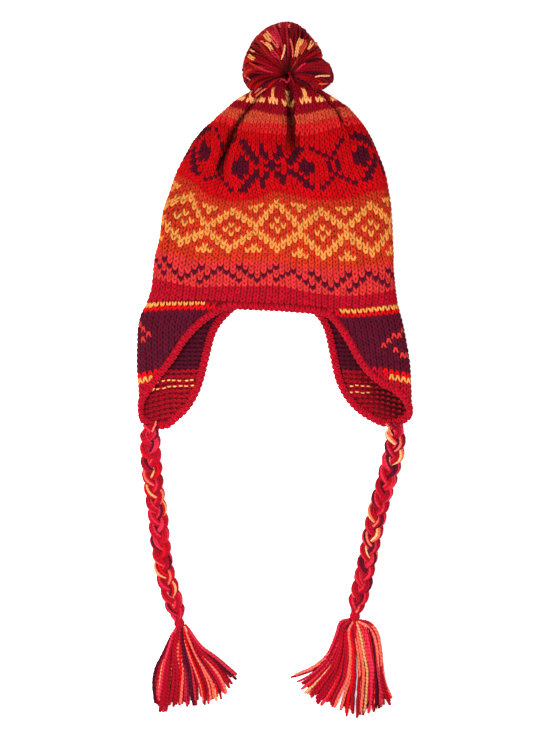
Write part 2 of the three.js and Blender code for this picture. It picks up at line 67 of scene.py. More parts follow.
lens = bpy.data.cameras.new("overhead")
lens.lens, lens.sensor_width = LENS, SENSOR
overhead = bpy.data.objects.new("overhead", lens)
bpy.context.collection.objects.link(overhead)
camera_height = HAT_HEIGHT + FRAME_HEIGHT * LENS / SENSOR
overhead.location = (FRAME_MIDDLE[0] * MM, FRAME_MIDDLE[1] * MM, camera_height * MM)
lens.clip_end = 20
bpy.context.scene.camera = overhead
bpy.context.scene.view_settings.view_transform = "Standard"
print("camera height in mm:", camera_height)

# %% [markdown]
# ## Yarn colours
#
# The knit uses few dyes: crimson, bright red, coral, burnt orange, yellow-orange and purple,
# with rust, scarlet and amber near the top. The rest are for the ties, tassels and pompom.
# A colour chosen on screen is in sRGB, and shaders want linear light, so a small
# function converts it once here. The dye later rides on the yarn as a vertex attribute.

# %% Dyes
def tint(red, green, blue):
    """A screen colour of 0 to 255 a channel, in linear light."""
    share = np.array([red, green, blue]) / 255
    return np.where(share <= 0.04045, share / 12.92, ((share + 0.055) / 1.055) ** 2.4)


DYES = {
    "crimson": tint(141, 4, 24),
    "red": tint(172, 2, 10),
    "coral": tint(171, 36, 36),
    "burnt": tint(166, 38, 18),
    "yellow": tint(196, 118, 54),
    "purple": tint(68, 6, 26),
    "rose": tint(178, 30, 50),
    "salmon": tint(214, 88, 70),
    "rust": tint(190, 64, 42),
    "straw": tint(240, 152, 88),
    "bone": tint(232, 156, 106),
    "scarlet": tint(196, 26, 28),
    "amber": tint(255, 166, 98),
    "sand": tint(212, 140, 90),
}
print("dyes:", ", ".join(DYES))

# %% [markdown]
# ## Smooth tables
#
# The hat's form is kept in short tables, as in the CAD source. A spline through a table's
# rows should never overshoot them, or the knit would fold back on itself. The cubic below
# flattens where the values turn, which is the usual cure.

# %% A curve through a table's values
def glide(knots, values, at):
    """Values at places between rising knots, without overshoot. Works on stacked columns too."""
    x, y = np.asarray(knots, float), np.asarray(values, float)
    tail = (1,) * (y.ndim - 1)
    at = np.clip(np.asarray(at, float), x[0], x[-1])
    gap = np.diff(x).reshape(-1, *tail)
    slope = np.diff(y, axis=0) / gap
    before, after = slope[:-1], slope[1:]
    same = before * after > 0
    total = np.where(same, before + after, 1)
    inner = np.where(same, 2 * before * after / total, 0)
    bend = np.concatenate([slope[:1], inner, slope[-1:]])
    i = np.clip(np.searchsorted(x, at, side="right") - 1, 0, len(x) - 2)
    t = ((at - x[i]) / (x[i + 1] - x[i])).reshape(-1, *tail)
    rest = 1 - t
    ends = (1 + 2 * t) * rest**2 * y[i] + t**2 * (3 - 2 * t) * y[i + 1]
    return ends + gap[i] * (t * rest**2 * bend[i] - t**2 * rest * bend[i + 1])


def unit(vectors):
    """The same directions with length one."""
    return vectors / np.maximum(np.linalg.norm(vectors, axis=-1, keepdims=True), 1e-9)


def smooth_step(t):
    """Eases from 0 to 1."""
    s = np.clip(t, 0, 1)
    return s * s * (3 - 2 * s)


def run_along(points):
    """How far along its line each point is. Works on stacked lines too."""
    steps = np.linalg.norm(np.diff(points, axis=-2), axis=-1)
    return np.concatenate([np.zeros_like(steps[..., :1]), np.cumsum(steps, axis=-1)], axis=-1)


def table_at(table, at):
    """The columns after a table's first, at places along it and in their shape."""
    rows = np.array(table, float)
    return [column.reshape(at.shape) for column in glide(rows[:, 0], rows[:, 1:], at.ravel()).T]


def plain_path(points, count):
    """A smooth line through points, at evenly spaced places along it."""
    points = np.asarray(points, float)
    run = run_along(points)
    return glide(run, points, np.linspace(0, run[-1], count))


print("halfway between 0, 1 and 1 at 0.5:", glide([0, 1, 2], [0, 1, 1], [0.5])[0])

# %% [markdown]
# ## Shader maths written as sums
#
# A material's colour changes need many small Math nodes. Wrapping a socket in a class whose
# operators add those nodes lets a recipe read like arithmetic. Every other node comes from
# one method, which makes the settings first, because some of them change the sockets.

# %% A wrapped socket
class Thread:
    """A shader value that can be added, multiplied and passed to other nodes."""

    def __init__(self, tree, socket):
        self.tree, self.socket = tree, socket

    def node(self, kind, settings=None, out=0, **inputs):
        """Adds a node with its settings, then fills its sockets with values or threads."""
        made = self.tree.nodes.new(kind)
        for name, value in (settings or {}).items():
            setattr(made, name, value)
        for name, value in inputs.items():
            key = int(name[1:]) if name[1:].isdigit() else name.replace("_", " ")
            socket = made.inputs[key]
            if isinstance(value, Thread):
                self.tree.links.new(value.socket, socket)
            else:
                socket.default_value = value
        return Thread(self.tree, made.outputs[out])

    def sum(self, operation, first, second):
        return self.node("ShaderNodeMath", {"operation": operation}, i0=first, i1=second)

    def __add__(self, other):
        return self.sum("ADD", self, other)

    def __sub__(self, other):
        return self.sum("SUBTRACT", self, other)

    def __rsub__(self, other):
        return self.sum("SUBTRACT", other, self)

    def __mul__(self, other):
        return self.sum("MULTIPLY", self, other)

    __radd__, __rmul__ = __add__, __mul__


def blank_material(name):
    """A new material, with a thread to hang nodes on and its shader."""
    material = bpy.data.materials.new(name)
    material.use_nodes = True
    tree = material.node_tree
    shader = tree.nodes["Principled BSDF"]
    return material, Thread(tree, shader.outputs[0]), shader


print("operators ready:", [n for n in ("__add__", "__mul__", "__rsub__") if hasattr(Thread, n)])

# %% [markdown]
# ## What wool looks like
#
# Wool yarn is two plies twisted together, covered in fine loose fibre. Close up it shows
# slanting grooves, a soft light fuzz at its edges, and dye that varies from one length to
# the next. The grooves follow the yarn's own UV map, as bumps and as painted shade darkening
# their furrows, and the dye comes from its attribute.

# %% The yarn material
WOOL_SPECULAR, WOOL_SHEEN, SHEEN_ROUGHNESS = 0.03, 0.03, 0.6
SHEEN_TINT = (1.0, 0.35, 0.3, 1)
FIBRES, PATCHES = 1500, 210  # scales of the noise, in features a metre
BUMP_DEPTH, BUMP_STRENGTH = 0.0012, 0.75


def yarn_material(name, ply, groove, furrow):
    """Plied wool: ply is the twist's length in mm, groove how deep its furrows are in mm, and
    furrow how much painted shade darkens them."""
    material, thread, shader = blank_material(name)
    colour = thread.node("ShaderNodeAttribute", {"attribute_name": "tint"}, out="Color")
    place = thread.node("ShaderNodeTexCoord", out="Object")
    map_out = thread.node("ShaderNodeTexCoord", out="UV")
    parts = thread.node("ShaderNodeSeparateXYZ", i0=map_out)
    along = Thread(thread.tree, parts.socket.node.outputs[0])
    around = Thread(thread.tree, parts.socket.node.outputs[1])
    turned = around * 2 - along * (1000 / ply)
    wave = thread.node("ShaderNodeMath", {"operation": "COSINE"}, i0=turned * (2 * math.pi))
    plies = wave * 0.5 + 0.5
    fibre = thread.node("ShaderNodeTexNoise", Vector=place, Scale=FIBRES, Detail=3, Roughness=0.65)
    patches = thread.node("ShaderNodeTexNoise", Vector=place, Scale=PATCHES, Detail=2)
    # Painted shade: the colour is darkened along the furrows between the plies, by the share
    # furrow
    tone = (fibre * 0.34 + 0.83) * (patches * 0.3 + 0.85) * (plies * furrow + 0.93 - furrow / 2)
    grey = thread.node("ShaderNodeCombineColor", Red=tone, Green=tone, Blue=tone)
    tinted = thread.node(
        "ShaderNodeMix", {"data_type": "RGBA", "blend_type": "MULTIPLY"}, out=2,
        i0=1.0, i6=colour, i7=grey,
    )
    thread.tree.links.new(tinted.socket, shader.inputs["Base Color"])
    thread.tree.links.new((0.98 - fibre * 0.2).socket, shader.inputs["Roughness"])
    shader.inputs["Specular IOR Level"].default_value = WOOL_SPECULAR
    shader.inputs["Sheen Weight"].default_value = WOOL_SHEEN
    shader.inputs["Sheen Roughness"].default_value = SHEEN_ROUGHNESS
    shader.inputs["Sheen Tint"].default_value = SHEEN_TINT
    relief = plies * groove + fibre * 0.35
    bump = thread.node(
        "ShaderNodeBump", Height=relief, Distance=BUMP_DEPTH, Strength=BUMP_STRENGTH
    )
    thread.tree.links.new(bump.socket, shader.inputs["Normal"])
    return material


STITCH_PLY, LOOSE_PLY = 4.2, 3.6
stitch_wool = yarn_material("stitch_wool", STITCH_PLY, groove=0.35, furrow=0.2)
plait_wool = yarn_material("plait_wool", LOOSE_PLY, groove=0.4, furrow=0.25)
loose_wool = yarn_material("loose_wool", LOOSE_PLY, groove=0.6, furrow=0.5)
print("materials:", [m.name for m in bpy.data.materials][-3:])

# %% [markdown]
# ## Laying yarn along paths
#
# Stitches, plaits and cut yarn are all lengths of yarn. There are thousands of them, so one
# short tube is made with bmesh operators and copied along each path by moving its points.
# A curve object with bevel would do for a few lengths, but not for ten thousand.

# %% One tube as a pattern for every length of yarn
def yarn_pattern(rings, sides):
    """A closed tube: each point's ring and angle, its faces, and each corner's place round it."""
    shape = bmesh.new()
    bmesh.ops.create_circle(shape, cap_ends=True, segments=sides, radius=1)
    edges = list(shape.edges)
    for step in range(rings - 1):
        made = bmesh.ops.extrude_edge_only(shape, edges=edges)["geom"]
        points = [g for g in made if isinstance(g, bmesh.types.BMVert)]
        bmesh.ops.translate(shape, verts=points, vec=(0, 0, 1))
        edges = [
            g for g in made
            if isinstance(g, bmesh.types.BMEdge) and all(v.co.z > step + 0.5 for v in g.verts)
        ]
    bmesh.ops.contextual_create(shape, geom=edges)
    bmesh.ops.recalc_face_normals(shape, faces=shape.faces)
    shape.verts.index_update()
    ring = np.array([round(v.co.z) for v in shape.verts])
    angle = np.array([math.atan2(v.co.y, v.co.x) % (2 * math.pi) for v in shape.verts])
    # Extruding gives the faces in no fixed order, so they are sorted: every run is then alike
    faces = sorted([v.index for v in face.verts] for face in shape.faces)
    shape.free()
    corner_turns = []
    for face in faces:
        turns = angle[face] / (2 * math.pi)
        flat_cap = len({ring[v] for v in face}) == 1
        wraps = turns.max() - turns.min() > 0.5 and not flat_cap
        corner_turns.extend(np.where(wraps & (turns < 0.5), turns + 1, turns))
    return ring, angle, faces, np.array(corner_turns)


def new_object(mesh, material):
    """A smooth-shaded object that carries its mesh's name, linked to the scene."""
    mesh.shade_smooth()
    mesh.materials.append(material)
    piece = bpy.data.objects.new(mesh.name, mesh)
    bpy.context.collection.objects.link(piece)
    return piece


def from_shape(name, shape, material):
    """An object from a finished bmesh."""
    mesh = bpy.data.meshes.new(name)
    shape.to_mesh(mesh)
    shape.free()
    return new_object(mesh, material)


def dress(piece, node):
    """Puts a piece on the hat in place of one of its solids, which it hides."""
    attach(piece, "root")
    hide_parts(node)
    return piece


def mesh_piece(name, points, faces_flat, face_sizes, material):
    """An object from arrays of points in mm and faces."""
    mesh = bpy.data.meshes.new(name)
    mesh.vertices.add(len(points))
    mesh.vertices.foreach_set("co", (np.asarray(points, np.float32) * MM).ravel())
    mesh.loops.add(len(faces_flat))
    mesh.loops.foreach_set("vertex_index", np.asarray(faces_flat, np.int32))
    mesh.polygons.add(len(face_sizes))
    starts = np.concatenate([[0], np.cumsum(face_sizes)[:-1]])
    mesh.polygons.foreach_set("loop_start", starts.astype(np.int32))
    mesh.update(calc_edges=True)
    return new_object(mesh, material)


def paint(piece, colours):
    """Stores a linear colour for each point as the attribute that the materials read: the yarn's
    dye, in some pieces darkened by painted shade.
    """
    layer = piece.data.color_attributes.new("tint", "FLOAT_COLOR", "POINT")
    solid = np.ones((len(colours), 4), np.float32)
    solid[:, :3] = colours
    layer.data.foreach_set("color", solid.ravel())


def lay_yarn(name, paths, outward, thickness, colours, material, node, sides=6,
             squash=1.0, lobes=0.0, ply=STITCH_PLY):
    """Tubes along paths (lengths, rings, 3). The outward directions and the thickness may be
    one for all. So may the colour, or it is (lengths, 3) or (lengths, rings, 3)."""
    lengths, rings = paths.shape[:2]
    thickness = np.broadcast_to(thickness, (lengths, rings))
    ring, angle, faces, corner_turns = yarn_pattern(rings, sides)
    forward = unit(np.gradient(paths, axis=1))
    side = unit(np.cross(forward, outward))
    up = np.cross(side, forward)
    run = run_along(paths) + chance.uniform(0, 20, (lengths, 1))
    spin = angle[None, :] - 2 * math.pi * run[:, ring] / (2 * ply)
    radius = thickness[:, ring] * (1 + lobes * np.cos(2 * spin))
    points = paths[:, ring] + radius[..., None] * (
        np.cos(angle)[None, :, None] * side[:, ring]
        + squash * np.sin(angle)[None, :, None] * up[:, ring]
    )
    flat = np.concatenate(faces)
    count = len(ring)
    all_faces = (flat[None, :] + count * np.arange(lengths)[:, None]).ravel()
    sizes = np.tile([len(f) for f in faces], lengths)
    piece = mesh_piece(name, points.reshape(-1, 3), all_faces, sizes, material)
    twist = piece.data.uv_layers.new(name="twist")
    uv = np.empty((lengths, len(flat), 2), np.float32)
    uv[..., 0] = run[:, ring[flat]] * MM
    uv[..., 1] = corner_turns[None, :]
    twist.data.foreach_set("uv", uv.ravel())
    colours = np.asarray(colours, float)
    if colours.ndim == 3:
        paint(piece, colours[:, ring].reshape(-1, 3))
    else:
        paint(piece, np.repeat(np.broadcast_to(colours, (lengths, 3)), count, axis=0))
    print(f"{name}: {lengths} lengths, {lengths * sum(len(f) - 2 for f in faces)} triangles")
    return dress(piece, node)


# %% [markdown]
# ## The two plaited ties
#
# Each tie is a three-strand plait of mixed yarns, bound at its end, with the cut ends fanned
# out as a tassel. The cord's route and its length come first, the same as in the CAD source.
# The strands are then laid on that route, swinging from side to side and over each other, a
# third of a period apart.

# %% Routes of the plaits, in mm
PLAIT_HEIGHT = 6.5
PLAIT_RINGS = 97
ROOTED = 7  # how far the plait's start is knitted into the flap's tip
PLAIT_ROUTES = {
    "left": [
        (-124.7, -206.5), (-124.9, -216), (-124.5, -226), (-123.7, -238), (-122.6, -251),
        (-121.4, -261), (-120, -271), (-118.6, -281), (-117.1, -290), (-116.2, -301),
        (-115.3, -313), (-113.6, -325), (-112.1, -336), (-109.9, -348), (-106.8, -360),
        (-103.3, -371), (-99.8, -382), (-96.6, -395),
    ],
    "right": [
        (121.3, -204.8), (121.5, -212), (121, -221), (119.1, -231), (116.4, -241),
        (113.4, -252), (110.5, -262), (107.5, -272), (104.7, -282), (102, -293),
        (99.4, -305), (96.7, -317), (94.4, -330), (91.9, -342), (89.4, -354),
        (86.4, -366), (83.6, -377), (81.4, -388),
    ],
}
plait_lines = {}
for side_name, route in PLAIT_ROUTES.items():
    line = plain_path([(x, y, PLAIT_HEIGHT) for x, y in route], PLAIT_RINGS)
    line[0, 1] += ROOTED
    plait_lines[side_name] = line
    print(f"{side_name} plait: {run_along(line)[-1]:.1f} mm")

# %% Yarn picked from a mix of dyes
MIXES = {
    "plait": {"crimson": 52, "red": 6, "rose": 20, "purple": 14, "salmon": 5, "sand": 3},
    "tassel": {"crimson": 40, "red": 8, "rose": 20, "purple": 11, "salmon": 15, "sand": 6},
}


def pick_dyes(mix, count):
    """A dye for each of count lengths of yarn, each a little lighter or darker."""
    names = list(MIXES[mix])
    odds = np.array([MIXES[mix][n] for n in names], float)
    which = chance.choice(len(names), count, p=odds / odds.sum())
    picked = np.array([DYES[n] for n in names])[which]
    return picked * chance.uniform(0.7, 1.08, (count, 1))


# %% Three strands of nine yarns each
STRAND_PERIOD = 40
STRAND_SWING, STRAND_LIFT = 5.8, 2.8
EDGE_DWELL = 0.95  # how long a strand stays at the plait's edge before it turns back
STRAND_YARNS, YARN_RADIUS, STRAND_REACH = 9, 1.35, 3.3
YARN_TURN = 95  # how many mm a yarn takes to wind once round its strand
YARN_WANDER, INNER_YARN = 0.3, 0.3
# How stout the plait is, by the share of its length
PLAIT_GIRTH = [0, 0.05, 0.6, 0.93, 0.97, 1], [0.8, 1.04, 0.98, 0.96, 0.74, 0.36]
UP = np.array([0.0, 0.0, 1.0])


def plait(side_name):
    """The plait's yarns as one piece: strands on their swinging lines, yarns wound within."""
    line = plait_lines[side_name]
    across = unit(np.cross(unit(np.gradient(line, axis=0)), UP))
    run = run_along(line)
    slim = glide(*PLAIT_GIRTH, run / run[-1])
    paths = []
    for strand in range(3):
        phase = 2 * math.pi * (run / STRAND_PERIOD + strand / 3)
        swing = np.tanh(EDGE_DWELL * np.sin(phase)) / math.tanh(EDGE_DWELL)
        middle = (
            line
            + across * (STRAND_SWING * slim * swing)[:, None]
            - UP * (STRAND_LIFT * slim * np.sin(2 * phase))[:, None]
        )
        for yarn in range(STRAND_YARNS):
            turn = 2 * math.pi * (yarn / (STRAND_YARNS - 1) + run / YARN_TURN) + strand
            reach = (STRAND_REACH if yarn < STRAND_YARNS - 1 else INNER_YARN) * slim
            wander = YARN_WANDER * np.sin(run / 7 + 2.1 * yarn + strand)
            path = (
                middle
                + across * ((reach + wander) * np.cos(turn))[:, None]
                + UP * (0.9 * (reach + wander) * np.sin(turn))[:, None]
            )
            path[:, 2] = np.maximum(path[:, 2], YARN_RADIUS)
            paths.append(path)
    return lay_yarn(
        f"plait_{side_name}", np.array(paths), UP, YARN_RADIUS * (0.75 + 0.25 * slim),
        pick_dyes("plait", len(paths)), plait_wool, f"braid_{side_name}",
        sides=7, lobes=0.05, ply=LOOSE_PLY,
    )


plaits = {side_name: plait(side_name) for side_name in PLAIT_ROUTES}

# %% A yarn end left at each flap's tip
TIP_ENDS = {
    "left": [(-122.5, -206, 12.5), (-121, -202, 14.2), (-119.3, -199, 13.6), (-119, -195.5, 11.5)],
    "right": [(112, -198, 12), (114.5, -202, 14), (116, -206, 14.6), (118.5, -210, 14)],
}
for side_name, points in TIP_ENDS.items():
    lay_yarn(
        f"tie_end_{side_name}", plain_path(points, 12)[None], UP, 1.0, DYES["salmon"],
        plait_wool, f"flap_{side_name}", ply=LOOSE_PLY,
    )

# %% [markdown]
# ## Bindings
#
# A few tight turns of yarn hold each plait's end. A helix wound round the plait's axis gives
# that, with a little unevenness so that it doesn't look like a spring.

# %% Yarn wound round the end of each plait
TIE_LENGTH, TIE_RADIUS, TIE_TURNS, TIE_RINGS = 7, 4.4, 5, 110
TIE_YARN, TIE_CORE = 0.95, 3.0  # radii of the winding yarn and of the core


def binding(side_name):
    """Turns of yarn round the plait's end, with a core of the plait's own yarns inside."""
    line = plait_lines[side_name]
    forward = unit(line[-1] - line[-4])
    across = unit(np.cross(forward, UP))
    t = np.linspace(0, 1, TIE_RINGS)
    turn = 2 * math.pi * TIE_TURNS * t
    middle = line[-1] + forward * (0.4 + TIE_LENGTH * t)[:, None]
    middle[:, 2] = TIE_RADIUS + 0.9
    belly = TIE_RADIUS * (0.86 + 0.14 * np.sin(math.pi * t)) + 0.25 * np.sin(5 * turn / 3)
    outward = across * np.cos(turn)[:, None] + UP * np.sin(turn)[:, None]
    wound = middle + outward * belly[:, None]
    core = middle + outward * 1.2
    return lay_yarn(
        f"binding_{side_name}", np.array([wound, core]), outward, [[TIE_YARN], [TIE_CORE]],
        DYES["crimson"], loose_wool, f"braid_tie_{side_name}", sides=7,
    )


bindings = {side_name: binding(side_name) for side_name in PLAIT_ROUTES}

# %% [markdown]
# ## Tassels
#
# Below the binding the yarns fan out on the table. They spring out of it sideways, turn down
# and spread again. A few guide lengths fix that form, and each yarn lies between two guides,
# with its own wave and its own cut end. Yarns of one lock wave together, so gaps open.

# %% Fans of cut yarn
# Guide lengths from left to right: x and y in mm from the binding's end, at even steps along
TASSEL_GUIDES = {
    "left": [
        [(-4, -1), (-8.6, -10), (-15.7, -25), (-22.9, -41), (-25.4, -57), (-24, -78)],
        [(-3, -1), (-6.4, -10), (-10.5, -25), (-12.3, -41), (-14, -60), (-18.5, -86)],
        [(-1, -1), (-3, -12), (-4, -27), (-3, -43), (-5, -61), (-8, -79)],
        [(0.5, -1), (0.5, -14), (2, -28), (4, -44), (4, -61), (3, -80)],
        [(3, -1), (6, -14), (10.5, -29), (15.7, -43), (20.5, -59), (23, -79)],
        [(5, 0), (10, -13), (18, -27), (28, -40), (36.5, -54), (41, -73)],
        [(5, 2), (11.5, -7), (21, -19), (34, -29), (46, -40), (59, -51)],
    ],
    "right": [
        [(-4, 1), (-13, -2), (-18, -15), (-25, -32), (-39, -46.5), (-62, -56)],
        [(-3.5, -1), (-13, -10), (-15.8, -25), (-22.5, -43), (-35, -59), (-50, -74)],
        [(-2, -1), (-8.8, -10), (-9.6, -25), (-13, -47), (-22, -66), (-33, -84)],
        [(-1, -1), (-6, -11), (-4, -31), (-5, -54), (-12, -73), (-19, -90)],
        [(0, -1), (-1, -12), (2, -31), (3, -52), (2, -75), (1.5, -99)],
        [(3, -1), (10, -11), (14.2, -31), (18, -51), (17.3, -70), (14, -90)],
        [(4, -1), (16, -8.5), (21, -26), (22.7, -46), (25.5, -67), (27, -89)],
        [(4.5, 0), (14, -3), (22, -14), (25, -33), (29, -56), (40, -81)],
    ],
}
TASSEL_YARNS, TASSEL_LOCKS, TASSEL_RINGS = 126, 16, 40
TASSEL_STRETCH = 1.05  # how far the longest yarns reach, against the guides
TASSEL_GIRTH = [0, 0.18, 0.96, 1], [0.55, 1, 1.02, 0.86]


def tassel(side_name):
    """Cut yarns from the binding, spread over the table in a few layers."""
    line = plait_lines[side_name]
    start = line[-1] + unit(line[-1] - line[-4]) * (TIE_LENGTH + 0.2)
    guides = np.array(TASSEL_GUIDES[side_name], float)
    steps = np.linspace(0, 1, guides.shape[1])
    t = np.linspace(0, 1, TASSEL_RINGS)
    lock = np.arange(TASSEL_YARNS) % TASSEL_LOCKS
    between = lock / (TASSEL_LOCKS - 1) * (len(guides) - 1) + chance.normal(0, 0.15, TASSEL_YARNS)
    lengths = glide(np.arange(len(guides)), guides, between)
    sway = chance.uniform(0.4, 1.5, TASSEL_LOCKS)
    swing, begin = chance.uniform(3.5, 7, TASSEL_LOCKS), chance.uniform(0, 6, TASSEL_LOCKS)
    cut = chance.uniform(0.95, 1.0, TASSEL_LOCKS)
    layer = chance.permutation(TASSEL_YARNS) / (TASSEL_YARNS - 1)
    paths = []
    for k, own in enumerate(lengths):
        reach = t * cut[lock[k]] * chance.uniform(0.9, 1)
        plan = TASSEL_STRETCH * glide(steps, own, reach)
        heading = unit(np.gradient(plan, axis=0))
        wave = chance.uniform(0.3, 0.8) * np.sin(t * chance.uniform(5, 11) + 6 * layer[k])
        wave += sway[lock[k]] * np.sin(swing[lock[k]] * t + begin[lock[k]])
        plan = plan + (wave * t)[:, None] * heading[:, ::-1] * (-1, 1)
        knee, tip = 5 + 8.5 * layer[k], 2.2 + 7.5 * layer[k] * chance.uniform(0.35, 1)
        height = glide([0, 0.4, 1], [chance.uniform(2.6, 7.8), knee, tip], t)
        paths.append(np.column_stack([start[:2] + plan, np.maximum(height, 2.0)]))
    thickness = chance.uniform(1.3, 1.65, (TASSEL_YARNS, 1)) * glide(*TASSEL_GIRTH, t)
    return lay_yarn(
        f"tassel_yarns_{side_name}", np.array(paths), UP, thickness,
        pick_dyes("tassel", TASSEL_YARNS), loose_wool, f"tassel_{side_name}",
        sides=8, lobes=0.15, ply=LOOSE_PLY,
    )


tassels = {side_name: tassel(side_name) for side_name in PLAIT_ROUTES}

# %% [markdown]
# ## The crown's form
#
# The crown is a wide flat tube, gathered towards the top. Its outline comes from a table,
# and the pleats that the gathering makes are creases laid over it. Where a crease is seen
# from the front it follows a line of its own, because the real folds run slantwise.

# %% Crown tables, in mm: y, left, right, low, high, swell
CROWN = np.array([
    (-78, -128.4, 123.6, 0, 30, 0), (-62, -123.4, 121.6, 0, 34, 1.5),
    (-35, -120.4, 119.6, 0, 40, 3), (-10, -115.2, 118.6, 0, 45, 4),
    (12, -112.4, 117.6, 0, 49, 4), (38, -103.7, 114.2, 0, 51, 4),
    (56, -96.9, 110, 1, 52, 4), (73, -87.9, 103.5, 3, 53, 4),
    (85, -80.8, 98.6, 4.5, 54, 3), (96, -71.4, 92.5, 6.5, 55, 3),
    (106, -60, 85, 9, 56, 2), (116, -49, 75.5, 12, 56, 2),
    (125, -38.4, 63, 15, 56, 1), (133, -24.5, 50, 18, 55, 0),
    (141, -10, 35, 21, 52, 0), (148, -3, 27, 22, 50, 0),
])
STITCH_BED = 1.4  # from the crown's outer face in to the surface that carries the stitches

# Creases on the front: y, x, half widths to the left and to the right, depth
FRONT_CREASES = [
    [(34, -48, 9, 8, 0), (45, -51.4, 7, 5, 4), (56, -52.4, 6, 4, 11), (71, -48.4, 5.5, 3.5, 17),
     (85, -43.4, 5, 3.2, 18), (103, -34.4, 4.5, 3, 16), (119, -22.4, 4, 3, 13),
     (132, -12, 4, 3, 9), (148, -5, 4, 3, 6)],
    [(66, 20, 14, 10, 0), (74, 20, 13, 6, 7), (86, 21, 11, 3, 15), (95, 19.5, 8, 2.6, 18),
     (111, 17, 6, 2.4, 18), (123, 16.5, 5, 2.4, 16), (137, 15, 4, 2.4, 12), (148, 14, 4, 3, 8)],
    [(84, 79, 7, 7, 0), (95, 73.6, 4, 4, 6), (101, 69.6, 3.5, 3.5, 9), (116, 60.6, 3, 3, 10),
     (127, 50, 3.5, 3, 7), (148, 24, 4, 3, 4)],
]
# Pleats at the back, in turns round the crown from the middle of the front: turn, start, depth
BACK_PLEATS = [(0.357, 60, 9.5), (-0.477, 78, 10.5), (-0.33, 55, 9.5)]
PLEAT_HALF_WIDTH, PLEAT_FADE = 0.02, 34


def crown_point(turn, y):
    """Points on the surface that carries the stitches."""
    left, right, low, high, swell = table_at(CROWN, y)
    half_width = (right - left) / 2 - STITCH_BED
    half_height = (high - low) / 2 - STITCH_BED
    level = half_width - half_height
    side = np.sign(turn)
    run = np.abs(turn) * (4 * level + 2 * math.pi * half_height)
    bend = np.clip((run - level) / half_height, 0, math.pi)
    past = np.maximum(run - level - math.pi * half_height, 0)
    out_x, out_z = side * np.sin(bend), np.cos(bend)
    x = side * (np.minimum(run, level) - past) + half_height * out_x
    z = half_height * out_z
    across = x / half_width
    middle_x, middle_z = (left + right) / 2, (low + high) / 2
    bulge = swell * np.maximum(out_z, 0) * (1 - across**2)
    depth = np.zeros_like(x)
    facing = smooth_step(out_z * 2)
    for crease in FRONT_CREASES:
        line_x, left_width, right_width, deep = table_at(crease, y)
        away = middle_x + x - line_x
        off = np.abs(away / np.where(away < 0, left_width, right_width))
        depth += facing * deep * np.exp(-(off**2.2))
    for place, start, deep in BACK_PLEATS:
        off = (turn - place - np.round(turn - place)) / PLEAT_HALF_WIDTH
        taper = glide([start, start + PLEAT_FADE, 133, 148], [0, 1, 0.6, 0.3], y.ravel())
        depth += deep * taper.reshape(y.shape) * np.exp(-(off**2))
    place = np.stack(
        [middle_x + x - out_x * depth, y, middle_z + z + bulge - out_z * depth], axis=-1
    )
    return place, depth


print("front of the crown at y = 0:", crown_point(np.array([0.0]), np.array([0.0]))[0][0].round(1))

# %% [markdown]
# ## Where the stitches lie
#
# The knit has 88 columns round the head and 54 rows from the hem to the neck. On the real
# hat the rows sag and rise, and near the pleats the columns crowd together. So a few rows
# are pinned down by where their columns lie on the front, and all other stitches are placed
# between them. The back has no such pins: its columns are spread evenly.

